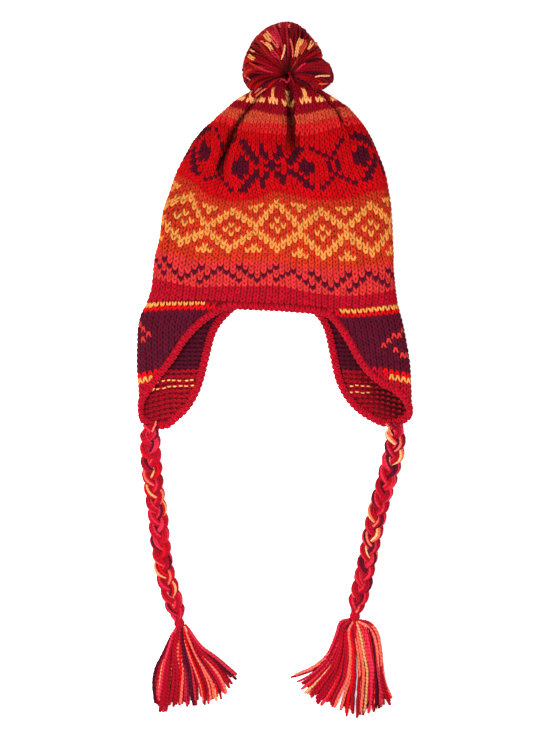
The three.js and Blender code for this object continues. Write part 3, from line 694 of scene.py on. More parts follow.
# %% Pinned rows: for each, x and y in mm at columns -20 to 20 in steps of 4
COLUMNS, ROWS = 88, 54
PINNED_COLUMNS = np.arange(-20, 21, 4)
PINNED_ROWS = {
    0: ((-126, -104, -77, -51.5, -26, 0.5, 26, 51.5, 76, 102, 121.8),
        (-76.5, -74, -73.5, -74.5, -76, -77, -78.8, -80.8, -82.6, -80.6, -78)),
    5.5: ((-119.5, -101, -75.5, -48.5, -23.5, 1.8, 26, 51.5, 76.4, 103.5, 120.5),
          (-43, -50, -55.2, -54, -53.4, -52.7, -58.5, -62.3, -63.5, -61, -56.5)),
    8.5: ((-118, -100, -73.8, -48.3, -23, 1.8, 25, 50.5, 75.2, 102.5, 119.8),
          (-29.5, -36, -41, -41.5, -40.8, -41.1, -46.4, -47.6, -48.5, -46.3, -42.5)),
    13: ((-114.5, -94.5, -70.9, -46, -20.8, 3.1, 25.9, 49.9, 74, 99.2, 117.1),
         (-7, -15.4, -22, -22.6, -22, -22, -27, -29.5, -30.3, -26.1, -24)),
    17.5: ((-111.5, -89.8, -67.6, -43.4, -18.7, 3.2, 26.3, 48.9, 72.7, 97.6, 116),
           (15.5, 7.8, -2.9, -3.5, -2.9, 0.5, -4.6, -7.3, -4.6, -1.8, 0.5)),
    22: ((-100.4, -83.8, -65.9, -41.9, -18.7, 1.9, 25, 47, 70.6, 96.3, 113.3),
         (39.5, 28.5, 16.1, 14.1, 17, 22, 17.8, 14.5, 14.5, 20.3, 24.4)),
    25: ((-94.5, -81, -64.4, -39.4, -18.4, 1.1, 24.1, 45.6, 69.1, 94.6, 111.5),
         (50, 41.5, 28.5, 23.7, 26.1, 33, 29.2, 25, 25.5, 32.2, 37)),
    27.5: ((-88, -73, -58, -39, -20.4, -2.4, 20, 43.5, 65.1, 86, 104),
           (62, 48.5, 40, 34.8, 35.5, 41.5, 42.7, 37.5, 39, 44.5, 51)),
    32.5: ((-76, -64, -54, -45, -23.5, -2.6, 22.5, 43, 59.8, 77, 96.5),
           (78, 68, 59, 57, 57.5, 59.7, 57.5, 57.5, 59.1, 65, 73)),
    37.5: ((-73.5, -62, -49.5, -37.3, -21, -5, 14, 32.5, 53.6, 73, 92),
           (96.5, 96, 90, 84, 81, 78.5, 76.5, 75.5, 79.5, 86.5, 93)),
    42: ((-66, -56, -46, -33.5, -20, -3, 15, 33.5, 50.6, 67, 82),
         (112, 110, 107, 103, 101.5, 101.2, 100.2, 101, 105.5, 107.5, 108)),
    45: ((-58, -50, -42, -29.5, -17, -1.5, 13.5, 32.5, 48.6, 63.6, 74),
         (121, 119, 117, 114.5, 113.5, 110, 109, 110.5, 114.5, 116.5, 118)),
    47.5: ((-45, -39, -33, -24.5, -14, -1.9, 13.8, 31.6, 47.6, 60, 68),
           (128, 127, 126, 124, 124.5, 124, 121, 124.5, 125, 126, 127)),
    50: ((-34, -31, -27, -20, -11, -1, 12.5, 28.5, 42.5, 51, 57),
         (136, 136, 136, 135, 136, 137, 134, 136, 135, 136, 136)),
    54: ((-3, -3, -1, 2, 7, 12, 17, 22, 25, 27, 27), (148,) * 11),
}
# The column at each side edge, and the row's height in mm at the back seam
EDGE_COLUMN = ([0, 5.5, 13, 22, 32.5, 37.5, 47.5, 54], [21.2, 21, 21.4, 22.3, 24.5, 25, 24, 22])
BACK_HEIGHT = (
    [0, 5.5, 13, 22, 25, 32.5, 37.5, 42, 47.5, 54],
    [-72, -48, -15, 26, 39, 71, 90, 108, 128, 148],
)


def turn_at(x, y):
    """The turn round the crown of a place on its front."""
    left, right, low, high, _ = table_at(CROWN, y)
    half_width, half_height = (right - left) / 2, (high - low) / 2
    level = half_width - half_height
    off = x - (left + right) / 2
    over = np.clip((np.abs(off) - level) / half_height, 0, 1)
    run = np.minimum(np.abs(off), level) + half_height * np.arcsin(over)
    return np.sign(off) * run / (4 * level + 2 * math.pi * half_height)


def columns_of(row, pins):
    """Turn and height at every quarter column of one pinned row."""
    x, y = (np.array(p, float) for p in pins)
    edge = glide(*EDGE_COLUMN, [row])[0]
    back = glide(*BACK_HEIGHT, [row])[0]
    turns = turn_at(x, y)
    if row == ROWS:
        turns = PINNED_COLUMNS / COLUMNS
    half = COLUMNS / 2
    knots = [-half, -34, -edge, *PINNED_COLUMNS, edge, 34, half]
    share = 0.25 * (34 - edge) / (half - edge)
    turn = [-0.5, -0.25 - share, -0.25, *turns, 0.25, 0.25 + share, 0.5]
    slope_left, slope_right = (y[0] - y[1]) / 4, (y[-1] - y[-2]) / 4
    side_left = y[0] + slope_left * (edge - 20) * 0.6
    side_right = y[-1] + slope_right * (edge - 20) * 0.6
    near = 0.35
    height = [back, back + (side_left - back) * near, side_left, *y,
              side_right, back + (side_right - back) * near, back]
    return glide(knots, np.stack([turn, height], axis=1), quarter_columns)


GRID_STEP = 0.25
quarter_columns = np.arange(-COLUMNS / 2, COLUMNS / 2 + GRID_STEP / 2, GRID_STEP)
quarter_rows = np.arange(0, ROWS + GRID_STEP / 2, GRID_STEP)
pinned = np.array([columns_of(row, pins) for row, pins in PINNED_ROWS.items()])
placed = glide(list(PINNED_ROWS), pinned, quarter_rows)
print("stitch grid:", placed.shape[:2], "quarter cells")

# %% A cloth is a grid of places and outward directions
def make_cloth(points, first_column, outward=None, wraps=False):
    """Keeps a grid of points, a quarter cell apart, with their outward directions."""
    if outward is None:
        rise, across = np.gradient(points, axis=(0, 1))
        outward = unit(np.cross(across, rise))
    return {"points": points, "outward": outward, "column": first_column, "wraps": wraps}


def on_cloth(cloth, column, row):
    """Places and outward directions at fractional columns and rows."""
    grid_rows, grid_columns = cloth["points"].shape[:2]
    if cloth["wraps"]:
        period = (grid_columns - 1) * GRID_STEP
        column = (column - cloth["column"]) % period + cloth["column"]
    c = np.clip((column - cloth["column"]) / GRID_STEP, 0, grid_columns - 1.001)
    r = np.clip(row / GRID_STEP, 0, grid_rows - 1.001)
    ci, ri = c.astype(int), r.astype(int)
    cf, rf = (c - ci)[..., None], (r - ri)[..., None]
    found = []
    for grid in (cloth["points"], cloth["outward"]):
        low = grid[ri, ci] * (1 - cf) + grid[ri, ci + 1] * cf
        high = grid[ri + 1, ci] * (1 - cf) + grid[ri + 1, ci + 1] * cf
        found.append(low * (1 - rf) + high * rf)
    return found[0], unit(found[1])


crown_places, fold_depth = crown_point(placed[..., 0], placed[..., 1])
crown_cloth = make_cloth(crown_places, -COLUMNS / 2, wraps=True)
middle_stitch, _ = on_cloth(crown_cloth, np.array([0.0]), np.array([32.5]))
print("flower's middle lies at", middle_stitch[0].round(1))

# %% [markdown]
# ## The colour chart
#
# Fair-isle knitting is charted: a repeat is drawn once on squared paper and worked round.
# The bands below are read off the hat and counted from the hem upwards. A figure is written as
# the distance from the nearest figure's middle, which gives its mirror symmetry for free.

# %% The chart of the crown, by column and row
def from_middle(column, repeat, offset=0):
    """How many columns away the middle of the nearest figure is."""
    return abs((column - offset + repeat // 2) % repeat - repeat // 2)


def zigzag_band(column, row):
    """Purple waves on coral: four rows, twelve columns to a repeat."""
    dips, peaks = from_middle(column, 12, -3), from_middle(column, 12, 3)
    return "purple" if dips == row or peaks == 3 - row else "coral"


def diamond_band(column, row):
    """Open diamonds with four dots, and small triangles between them: eleven rows."""
    off, level = from_middle(column, 8), min(row, 10 - row)
    outline = {0: (0,), 1: (0, 1), 2: (1, 2), 3: (2, 3), 4: (3, 4), 5: (4,)}[level]
    triangle = {0: (3, 4), 1: (4,)}.get(level, ())
    dots = {4: (0,), 5: (1,)}.get(level, ())
    return "yellow" if off in (*outline, *triangle, *dots) else "burnt"


def flower_band(column, row):
    """Eight-petalled flowers, dots and a lattice in purple on red: eleven rows."""
    off, level = from_middle(column, 24), abs(row - 5)
    petals = {0: (0, 1), 1: (0, 3), 2: (1, 3, 4), 3: (1, 2, 4, 5), 4: (2, 5, 6), 5: (2, 6, 7)}
    dots = {0: (5, 6, 7), 1: (5, 6, 7), 2: (6,)}.get(level, ())
    lattice = {0: (11,), 1: (11,), 2: (12,), 3: (11,), 4: (10,), 5: (9,)}[level]
    return "purple" if off in (*petals[level], *dots, *lattice) else "red"


def amber_band(column, row):
    """Amber peaks on crimson: three stitches wide in the first row, and then one."""
    return "amber" if from_middle(column, 4) <= (row == 0) else "crimson"


# The crown's bands from the hem up: the row that each stops below, and its dye or figure
BANDS = (
    (4, "crimson"), (5, "coral"), (9, zigzag_band), (10, "coral"), (12, "burnt"),
    (23, diamond_band), (25, "burnt"), (27, "red"), (38, flower_band), (40, "red"),
    (42, "scarlet"), (45, "rust"), (47, "crimson"), (50, amber_band), (ROWS, "crimson"),
)


def crown_dye(column, row):
    """The dye of one stitch of the crown."""
    first = 0
    for below, band in BANDS:
        if row < below:
            return band if isinstance(band, str) else band(column, row - first)
        first = below


for row in range(22, 11, -1):
    print("".join("#" if crown_dye(c, row) == "yellow" else "." for c in range(-12, 13)))

# %% [markdown]
# ## Knit stitches
#
# Seen from the right side each stitch is a V of two legs: they meet under the stitch below
# and part to the column's edges, where they dip behind the stitch above. A bump map of Vs
# would look right from far away only. Here each leg is a short real length of yarn, so the
# stitches catch light, and the gaps between them are true gaps, darkened also by the painted
# shade of the web behind them.

# %% Legs laid on a cloth
# One leg: across in columns, up in rows, out in mm, radius in mm
LEG = np.array([
    (0.03, -0.24, 0.0, 0.75), (0.09, -0.06, 0.5, 1.1), (0.175, 0.26, 0.75, 1.25),
    (0.275, 0.6, 0.55, 1.2), (0.36, 0.93, -0.05, 0.95), (0.4, 1.2, -0.95, 0.65),
])
COLUMN_WIDTH = 5.9


def stitch_size(cloth, column, row):
    """How wide the columns are here, against the knit's usual width."""
    right, _ = on_cloth(cloth, column + 0.5, row + 0.5)
    left, _ = on_cloth(cloth, column - 0.5, row + 0.5)
    return np.clip(np.linalg.norm(right - left, axis=-1) / COLUMN_WIDTH, 0.55, 1.05) ** 0.8


def knit(name, cloth, columns, rows, yarn_colours, node, flip=False, lift=0.0):
    """The V stitches of the given cells, as one piece."""
    count = len(columns)
    column = np.repeat(columns, 2).astype(float)[:, None]
    row = np.repeat(rows, 2).astype(float)[:, None]
    hand = np.tile([-1.0, 1.0], count)[:, None]
    column = column + chance.normal(0, 0.025, (count, 1)).repeat(2, axis=0)
    row = row + chance.normal(0, 0.03, (count, 1)).repeat(2, axis=0)
    up = 1 - LEG[:, 1] if flip else LEG[:, 1]
    place, outward = on_cloth(cloth, column + hand * LEG[:, 0], row + up)
    scale = stitch_size(cloth, column, row) * chance.uniform(0.94, 1.06, (2 * count, 1))
    paths = place + outward * (lift + LEG[:, 2] * scale)[..., None]
    tones = chance.uniform(0.86, 1.12, (count, 1)).repeat(2, axis=0)
    lay_yarn(
        name, paths, outward, LEG[:, 3] * scale, np.repeat(yarn_colours, 2, axis=0) * tones, stitch_wool,
        node, sides=5, squash=0.85,
    )


all_columns, all_rows = np.meshgrid(
    np.arange(-COLUMNS // 2, COLUMNS // 2), np.arange(ROWS), indexing="xy"
)
all_columns, all_rows = all_columns.ravel(), all_rows.ravel()
crown_colours = np.array([DYES[crown_dye(c, r)] for c, r in zip(all_columns, all_rows)])
# Painted shade: little light gets down into a fold, so the yarn's colour there is darkened by the
# fold's depth
FOLD_SHADE, DEEPEST_FOLD = 0.85, 17
in_fold = fold_depth[
    ((all_rows + 0.5) / GRID_STEP).astype(int),
    ((all_columns + COLUMNS / 2) / GRID_STEP).astype(int),
]
crown_colours *= 1 - FOLD_SHADE * smooth_step(in_fold / DEEPEST_FOLD)[:, None]
for name, near, far in (("left", -23, 0), ("right", 0, 23), ("back_right", 23, 44),
                        ("back_left", -44, -23)):
    own = (all_columns >= near) & (all_columns < far)
    knit(f"crown_stitches_{name}", crown_cloth, all_columns[own], all_rows[own], crown_colours[own],
         "crown")

# %% [markdown]
# ## The wrong side of the knit
#
# From behind, the same loops show as rows of small arches that hook into each other, with the
# yarn that isn't in use floating across. It is seen inside the flaps and in the mouth of the
# hat. Each arch is one short length again, on the same cloth, but outwards now means inwards.

# %% Purl arches on a cloth's inner side
# One arch: across in columns, up in rows, in mm towards the inside, radius in mm
ARCH = np.array([
    (-0.52, -0.05, 0.15, 0.8), (-0.3, 0.12, 0.75, 1.05), (0.0, 0.42, 1.0, 1.15),
    (0.3, 0.12, 0.75, 1.05), (0.52, -0.05, 0.15, 0.8),
])


def purl(name, cloth, columns, rows, yarn_colours, node, lift, sides):
    """The arches of the given cells on the inner side, as one piece."""
    count = len(columns)
    column = (columns + chance.normal(0, 0.03, count))[:, None]
    row = (rows + 0.5 + chance.normal(0, 0.05, count))[:, None]
    scale = stitch_size(cloth, column, row)
    place, outward = on_cloth(cloth, column + ARCH[:, 0], row + ARCH[:, 1])
    inward = -outward
    paths = place + inward * (lift + ARCH[:, 2] * scale)[..., None]
    tones = chance.uniform(0.84, 1.1, (count, 1))
    lay_yarn(name, paths, inward, ARCH[:, 3] * scale, yarn_colours * tones, stitch_wool, node,
             sides=sides)


CROWN_PURL_LIFT, CROWN_PURL_ROWS = 0.35, 52
for name, near, far in (("front", -22, 22), ("back_right", 22, 44), ("back_left", -44, -22)):
    own = (all_columns >= near) & (all_columns < far) & (all_rows < CROWN_PURL_ROWS)
    purl(f"crown_inside_{name}", crown_cloth, all_columns[own], all_rows[own], crown_colours[own],
         "crown", lift=CROWN_PURL_LIFT, sides=4)

# %% [markdown]
# ## The ground between the stitches
#
# Light must not pass between the stitches, so each cloth has a thin web of yarn inside it, in
# the colour of the stitches round it darkened as painted shade, for the shade in the gaps. It
# is a grid bent onto the cloth, and a Solidify modifier gives it thickness. Even thickness
# stays off: it makes spikes in sharp pleats.

# %% A web inside a cloth
# Painted shade: the web takes this share of the stitches' colour
SHADED = 0.35
WEB_WALL, WEB_DEPTH = 0.8, 0.6  # its thickness, and how far inside the crown's cloth it lies
WEB_HEM = 3  # how far the crown's web hangs down into the edging, in mm
SEAM_GAP = 0.999999  # its last column stops just short of the first, and is then merged


def web(name, place, columns, rows, colour_at, node, slot, seam=False):
    """A thin grid bent by place(column, row), closed along its seam if it has one."""
    shape = bmesh.new()
    shape.loops.layers.uv.new("twist")
    bmesh.ops.create_grid(shape, x_segments=columns, y_segments=rows, size=0.5, calc_uvs=True)
    spots = np.array([v.co[:] for v in shape.verts]) + 0.5
    points, colours = place(spots[:, 0], spots[:, 1]), colour_at(spots[:, 0], spots[:, 1])
    layer = shape.verts.layers.float_color.new("tint")
    for vert, point, colour in zip(shape.verts, points, colours):
        vert.co = point * MM
        # The web's colour is darkened here as painted shade
        vert[layer] = (*(colour * SHADED), 1)
    if seam:
        bmesh.ops.remove_doubles(shape, verts=shape.verts, dist=0.05 * MM)
        rims = [e for e in shape.edges if e.is_boundary]
        bmesh.ops.holes_fill(shape, edges=[e for e in rims if all(v.co.y > 0 for v in e.verts)])
    bmesh.ops.recalc_face_normals(shape, faces=shape.faces)
    piece = from_shape(name, shape, stitch_wool)
    wall = piece.modifiers.new("wall", "SOLIDIFY")
    wall.thickness, wall.offset, wall.use_even_offset = WEB_WALL * MM, 0, False
    dress(piece, node)
    print(f"{name}: {len(piece.data.polygons)} faces")


def crown_web_place(u, v):
    place, outward = on_cloth(crown_cloth, (u - 0.5) * COLUMNS * SEAM_GAP, v * ROWS)
    place = place - outward * WEB_DEPTH
    place[:, 1] -= np.where(v < 0.001, WEB_HEM, 0)
    return place


def crown_web_dye(u, v):
    columns = np.round((u - 0.5) * COLUMNS).astype(int)
    rows = np.clip((v * ROWS).astype(int), 0, ROWS - 1)
    return np.array([DYES[crown_dye(c, r)] for c, r in zip(columns, rows)])


web("crown_web", crown_web_place, 2 * COLUMNS, 2 * ROWS, crown_web_dye, "crown",
    "patterned_knit", seam=True)

# %% [markdown]
# ## Ear flaps
#
# Each flap is knitted down from the hem and, as the hat lies, folded at its side like a taco.
# The front half lies over the back half, whose wrong side shows through the gap. So one cloth
# runs from the front edge round the fold to the back edge, and both sides of it are dressed.

# %% The flaps' tables, in mm
FLAP_JOIN = -78
FLAP_BEND_WALL = 1.6
FLAPS = {
    "left": {
        "side": -1,
        # down from the hem, how far out the fold lies, its outer radius
        "folds": [(0, 128.4, 15), (12, 134.6, 14.5), (28, 137.4, 14), (60, 138.2, 11.5),
                  (92, 136.4, 9.5), (130, 135.5, 8)],
        # the edging's middle line on the cloth spread flat: across from the fold, and down
        "outline": [(84, 4), (74, 12), (62, 24), (51, 37), (42.5, 50), (34, 61), (20, 77),
                    (9, 91), (3, 99), (-1, 109), (-7, 117), (-17, 122), (-29, 121.5),
                    (-38, 114.5), (-48, 106), (-58, 92), (-67, 73), (-74, 50), (-79, 32),
                    (-86, 16), (-92, 7)],
        # the coral figure: the columns that it takes in each row, the same on both halves
        "figure": {4: (1,), 5: (2,), 6: (3,), 7: (2,), 8: (0,)},
        # how much painted shade darkens the wrong side towards the fold; the dashes' rows, how
        # many of them show, and between which distances from the back edge
        "gloom": 0.25, "dashes": (16.5, 17.8), "dash_share": 0.9, "dash_span": (0, 99),
    },
    "right": {
        "side": 1,
        "folds": [(0, 123.6, 15), (16, 128, 14), (40, 133, 13), (67, 136.8, 11),
                  (99, 137.9, 9), (130, 137.6, 8)],
        "outline": [(84, 7), (76, 11), (69, 22), (62, 37), (55, 54), (46, 67), (35, 77),
                    (22, 84), (11, 93), (3, 104), (-6, 113), (-16, 118.5), (-28, 119.5),
                    (-40, 115), (-51, 108.5), (-62, 99), (-71, 86), (-78, 66), (-80.5, 42),
                    (-81.3, 28), (-84, 16), (-89.5, 7)],
        "figure": {5: (1,), 6: (2, 3), 7: (4,), 8: (5,), 9: (3,), 10: (1, 2)},
        "gloom": 0.93, "dashes": (17.7, 19.1), "dash_share": 1, "dash_span": (9, 36),
    },
}
FLAP_COLUMN, FLAP_ROW = 5.75, 4.9
FLAP_COLUMNS, FLAP_ROWS = (-17, 16), 26


def flap_point(flap, cross, down):
    """Middle of the flap's wall and its outward direction, at a place on the cloth."""
    reach, radius = table_at(flap["folds"], down)
    bend = radius - FLAP_BEND_WALL
    angle = np.clip(cross / bend, -math.pi / 2, math.pi / 2)
    flat = np.maximum(np.abs(cross) - math.pi / 2 * bend, 0)
    outward = np.stack([flap["side"] * np.cos(angle), 0 * angle, np.sin(angle)], axis=-1)
    x = reach - radius + bend * np.cos(angle) - flat
    place = np.stack(
        [flap["side"] * x, FLAP_JOIN - down, radius + bend * np.sin(angle)], axis=-1
    )
    return place, outward


def join_depth(flap, cross):
    """How far below the join line the crown's lowest row lies, over a place on the flap."""
    hem = CROWN[0]
    length = 2 * (hem[2] - hem[1]) + (2 * math.pi - 4) * (hem[4] - hem[3]) / 2
    turn = flap["side"] * (0.25 - cross / length)
    turn = turn - np.round(turn)
    return FLAP_JOIN - np.interp(turn, placed[0, :, 0], placed[0, :, 1])


def flap_edges(flap, down):
    """Where the edging's middle line runs at a depth: its front and its back place."""
    line = np.array(flap["outline"], float)
    lowest = int(line[:, 1].argmax())
    front, back = line[: lowest + 1], line[lowest:][::-1]
    return glide(front[:, 1], front[:, 0], down), glide(back[:, 1], back[:, 0], down)


LAST_YELLOW = {0: 11, 14: 5, 15: 4}  # in these rows the dye stops so many columns from the fold


def flap_dye(flap, column, row):
    """Bands at both ends, and a figure in coral on the purple between them."""
    if row > 15 or abs(column) > LAST_YELLOW.get(row, COLUMNS):
        return "crimson"
    if row in (0, 15):
        return "yellow"
    if row < 2 or row == 14:
        return "red"
    return "coral" if abs(column) in flap["figure"].get(row, ()) else "purple"


ROW_DROP = 8
flap_cloths = {}
for side_name, flap in FLAPS.items():
    columns = np.arange(FLAP_COLUMNS[0] - 1, FLAP_COLUMNS[1] + 1 + GRID_STEP / 2, GRID_STEP)
    rows = np.arange(0, FLAP_ROWS + GRID_STEP / 2, GRID_STEP)
    cross = np.broadcast_to(columns * FLAP_COLUMN, (len(rows), len(columns)))
    start = join_depth(flap, cross)
    down = start * np.clip(1 - rows / 12, 0, 1)[:, None] + rows[:, None] * FLAP_ROW
    # Lower down, the rows drop towards the fold
    lower = smooth_step((rows - 6) / 9)[:, None]
    down = down + ROW_DROP * lower * (0.35 - np.clip(np.abs(cross) / 34, 0, 1))
    points, outward = flap_point(flap, cross, down)
    flap_cloths[side_name] = make_cloth(points, columns[0], outward)
    print(f"{side_name} flap: lowest row at {points[-1, :, 1].min():.0f} mm")

# %% Stitches, arches and web of each flap
EDGE_TUCK, GLOOM_REACH = 3.5, 38
FLAP_LIFT, DASH_JITTER = 0.2, 0.08
FLAP_WEB_CELLS = 60, 50
# One dash: across in columns, up in rows, in mm towards the inside, radius in mm
DASH = np.array([(-0.34, 0, 0.9, 0.5), (-0.15, 0.08, 1.9, 0.85), (0.15, 0.1, 1.9, 0.85),
                 (0.34, 0.02, 0.9, 0.5)])
for side_name, flap in FLAPS.items():
    cloth, node = flap_cloths[side_name], f"flap_{side_name}"
    columns, rows = np.meshgrid(np.arange(*FLAP_COLUMNS), np.arange(FLAP_ROWS), indexing="xy")
    columns, rows = columns.ravel(), rows.ravel()
    spot, _ = on_cloth(cloth, columns.astype(float), rows + 0.5)
    depth = FLAP_JOIN - spot[:, 1]
    front, back = flap_edges(flap, depth)
    cross = columns * FLAP_COLUMN
    deepest = max(d for _, d in flap["outline"])
    inside = (cross < front - EDGE_TUCK) & (cross > back + EDGE_TUCK) & (depth < deepest)
    columns, rows = columns[inside], rows[inside]
    yarn_colours = np.array([DYES[flap_dye(flap, c, r)] for c, r in zip(columns, rows)])
    joined = rows == 0
    knit(f"flap_stitches_{side_name}", cloth, columns[~joined], rows[~joined], yarn_colours[~joined],
         node, lift=FLAP_LIFT)
    knit(f"flap_pickup_{side_name}", cloth, columns[joined], rows[joined], yarn_colours[joined],
         node, lift=FLAP_LIFT, flip=True)
    # Where yellow begins and ends, the wrong side shows it only as dashes
    dashed = rows == 15
    yarn_colours[dashed] = DYES["crimson"]
    # Painted shade: the wrong side's colour darkens from the back edge towards the fold
    from_edge = (cross - back)[inside] / GLOOM_REACH
    light = 1 - flap["gloom"] * smooth_step(from_edge)[:, None]
    purl(f"flap_inside_{side_name}", cloth, columns, rows, yarn_colours * light, node,
         lift=FLAP_LIFT, sides=5)
    many = dashed.sum()
    dash_columns = np.tile(columns[dashed], 2) + chance.normal(0, DASH_JITTER, 2 * many)
    dash_rows = np.repeat(flap["dashes"], many) + chance.normal(0, DASH_JITTER, 2 * many)
    near, far = flap["dash_span"]
    over = np.tile((cross - back)[inside][dashed], 2)
    kept = chance.uniform(0, 1, len(dash_rows)) < flap["dash_share"]
    kept &= (over > near) & (over < far)
    dash_columns, dash_rows = dash_columns[kept, None], dash_rows[kept, None]
    place, outward = on_cloth(cloth, dash_columns + DASH[:, 0], dash_rows + DASH[:, 1])
    # The dashes take a milder share of the same painted shade
    dash_light = np.tile(light[dashed], (2, 1))[kept] ** 0.4
    lay_yarn(f"flap_dashes_{side_name}", place - outward * DASH[:, 2, None], -outward,
             DASH[:, 3], DYES["straw"] * dash_light, stitch_wool, node)

    def flap_web_place(u, v):
        front, back = flap_edges(flap, v * deepest)
        cross = front + (back - front) * u
        start = join_depth(flap, cross) * np.clip(1 - v * deepest / (12 * FLAP_ROW), 0, 1)
        return flap_point(flap, cross, v * deepest + start)[0]

    def flap_web_dye(u, v):
        rows = (v * deepest / FLAP_ROW).astype(int)
        return np.array([DYES["crimson" if r < 1 else flap_dye(flap, 6, r)] for r in rows])

    web(f"flap_web_{side_name}", flap_web_place, *FLAP_WEB_CELLS, flap_web_dye, node,
        "flap_knit")

# %% [markdown]
# ## The rolled edging
#
# One knitted band goes all the way round the hem and both flaps and rolls up into a soft
# cord. It is a cloth too: its columns run along the edge and its rows go round the roll. The
# line it follows is put together from the hem at the front, one flap, the hem at the back
# and the other flap, and then measured out evenly.

# %% The line that the edging follows
HEM_DROP = 4.4
EDGE_SMOOTHING = 12  # rounds of easing the corners between the runs


def hem_line(start, end, steps):
    """Middle of the edging along the crown's lowest row, between two turns."""
    turn = np.linspace(start, end, steps)
    near = turn - np.round(turn)
    y = np.interp(near, placed[0, :, 0], placed[0, :, 1])
    place, _ = crown_point(near, np.maximum(y, CROWN[0, 0]))
    place[:, 1] = y - HEM_DROP
    up = np.where(np.abs(near) < 0.25, 1.0, -1.0)
    return place, np.stack([0 * up, 0 * up, up], axis=-1)


def flap_line(flap):
    """Middle of the edging round a flap, from its front to its back."""
    line = plain_path([(c, d, 0) for c, d in flap["outline"]], 240)
    return flap_point(flap, line[:, 0], line[:, 1])


runs = [
    ("hem_edging_front", hem_line(-0.088, 0.083, 60)),
    ("flap_edging_right", flap_line(FLAPS["right"])),
    ("hem_edging_back", hem_line(0.428, 0.572, 60)),
    ("flap_edging_left", tuple(part[::-1] for part in flap_line(FLAPS["left"]))),
]
edge_places = np.concatenate([run[0] for _, run in runs])
edge_normals = np.concatenate([run[1] for _, run in runs])
edge_owner = np.concatenate([[k] * len(run[0]) for k, (_, run) in enumerate(runs)])
edge_places = np.concatenate([edge_places, edge_places[:1]])
edge_normals = np.concatenate([edge_normals, edge_normals[:1]])
edge_owner = np.append(edge_owner, 0)
for _ in range(EDGE_SMOOTHING):
    for line in (edge_places, edge_normals):
        ring = line[:-1]
        ring[:] = 0.5 * ring + 0.25 * (np.roll(ring, 1, axis=0) + np.roll(ring, -1, axis=0))
        line[-1] = ring[0]
edge_run = run_along(edge_places)
print(f"the edging is {edge_run[-1]:.0f} mm round")

# %% The edging as a cloth rolled into a cord
ROLL_COLUMN, ROLL_ROWS = 5.2, 4
ROLL_HALF_WIDTH, ROLL_HALF_HEIGHT = 3.1, 2.1
# Painted shade: the edging's core, under its stitches, is crimson darkened to this share
ROLL_SHADE = 0.65


def measured_out(values):
    """Values along the edging's line, at even steps."""
    return np.stack([np.interp(steps, edge_run, values[:, k]) for k in range(3)], axis=-1)


roll_columns = round(edge_run[-1] / ROLL_COLUMN)
steps = np.linspace(0, edge_run[-1], roll_columns * 4 + 1)
line, normal = measured_out(edge_places), unit(measured_out(edge_normals))
line[:, 2] = np.maximum(line[:, 2], ROLL_HALF_HEIGHT + 1.6)
forward = np.gradient(line, axis=0)
forward[0] = forward[-1] = line[1] - line[-2]
across = unit(np.cross(forward, normal))
normal = np.cross(across, unit(forward))
angle = 2 * math.pi * np.arange(-2 * 4, (ROLL_ROWS + 2) * 4 + 1) / (ROLL_ROWS * 4)
cosine, sine = np.cos(angle)[:, None, None], np.sin(angle)[:, None, None]
outward = cosine * across * ROLL_HALF_HEIGHT + sine * normal * ROLL_HALF_WIDTH
roll_points = line + cosine * across * ROLL_HALF_WIDTH + sine * normal * ROLL_HALF_HEIGHT
roll_cloth = make_cloth(roll_points, 0, unit(outward), wraps=True)
column_middles = (np.arange(roll_columns) + 0.5) * ROLL_COLUMN
column_owner = edge_owner[
    np.searchsorted(edge_run, column_middles).clip(0, len(edge_owner) - 1)
]
for k, (node, _) in enumerate(runs):
    own = np.flatnonzero(column_owner == k)
    columns, rows = np.meshgrid(own, np.arange(ROLL_ROWS) + 2, indexing="xy")
    columns, rows = columns.ravel(), rows.ravel()
    yarn_colours = np.broadcast_to(DYES["crimson"], (len(columns), 3))
    knit(node.replace("edging", "roll"), roll_cloth, columns, rows, yarn_colours, node)
    spots = np.arange(own.min() * 4, (own.max() + 1) * 4 + 1) % (roll_columns * 4)
    # The core under the stitches is painted darker, as the shade between them
    lay_yarn(
        node.replace("edging", "core"), line[spots][None], normal[spots][None],
        ROLL_HALF_WIDTH - 0.2, DYES["crimson"] * ROLL_SHADE, stitch_wool, node,
        sides=10, squash=0.66,
    )

# %% [markdown]
# ## The pompom
#
# A pompom is a bundle of yarn tied hard and cut at both ends. This one has flopped on its
# back: seen from above, its lengths rise out of a dimple at the knot, part, and run outwards
# over the ball to their cut ends. So a length isn't a straight ray. It climbs to a shell of
# the egg-shaped ball and follows it, and the shells are nested to fill the ball.

# %% Lengths of yarn from the knot over the ball
POMPOM_KNOT = np.array([13.5, 149, 38.0])
POMPOM_MIDDLE, POMPOM_RADII = np.array([11, 160, 38.0]), np.array([43.5, 42.5, 38.5])
POMPOM_YARNS, POMPOM_RINGS, LOCK = 880, 13, 16
DIMPLE = 16
POMPOM_GIRTH = [0, 0.25, 0.97, 1], [0.6, 0.95, 1.05, 0.8]
# The ball's edge from the knot: degrees from +X towards +Y, and mm
POMPOM_EDGE = np.array([
    (-30, 31), (-15, 40.4), (-7, 44.5), (0, 44), (15, 42), (28, 39.5), (39, 41.6), (49, 43.6),
    (62, 46.3), (73, 51.2), (90, 54.3), (112, 53.1), (132, 50.2), (145, 48.4), (160, 46.7),
    (179, 45.4), (188, 43.9), (197, 41.3), (204, 39), (212, 34),
])
# The dyes of the lengths, by direction
POMPOM_DYES = [
    (-30, "crimson crimson purple red"), (20, "crimson purple crimson red"),
    (45, "rust crimson red crimson"), (62, "crimson purple red crimson"),
    (80, "crimson red rose crimson"), (105, "rose red burnt crimson"),
    (132, "crimson red crimson crimson"), (165, "red crimson burnt crimson"),
    (188, "crimson purple crimson red"),
]
# Places where the lengths part and little light gets in, where the yarn is painted darker
# as shade: x, y, half widths in mm, darkness
HOLLOWS = [(12, 157, 6.5, 10, 0.85), (-10, 145, 13, 4, 0.65), (34, 142, 8, 3, 0.55),
           (25, 192, 5, 7, 0.4), (12, 190, 3, 9, 0.3)]
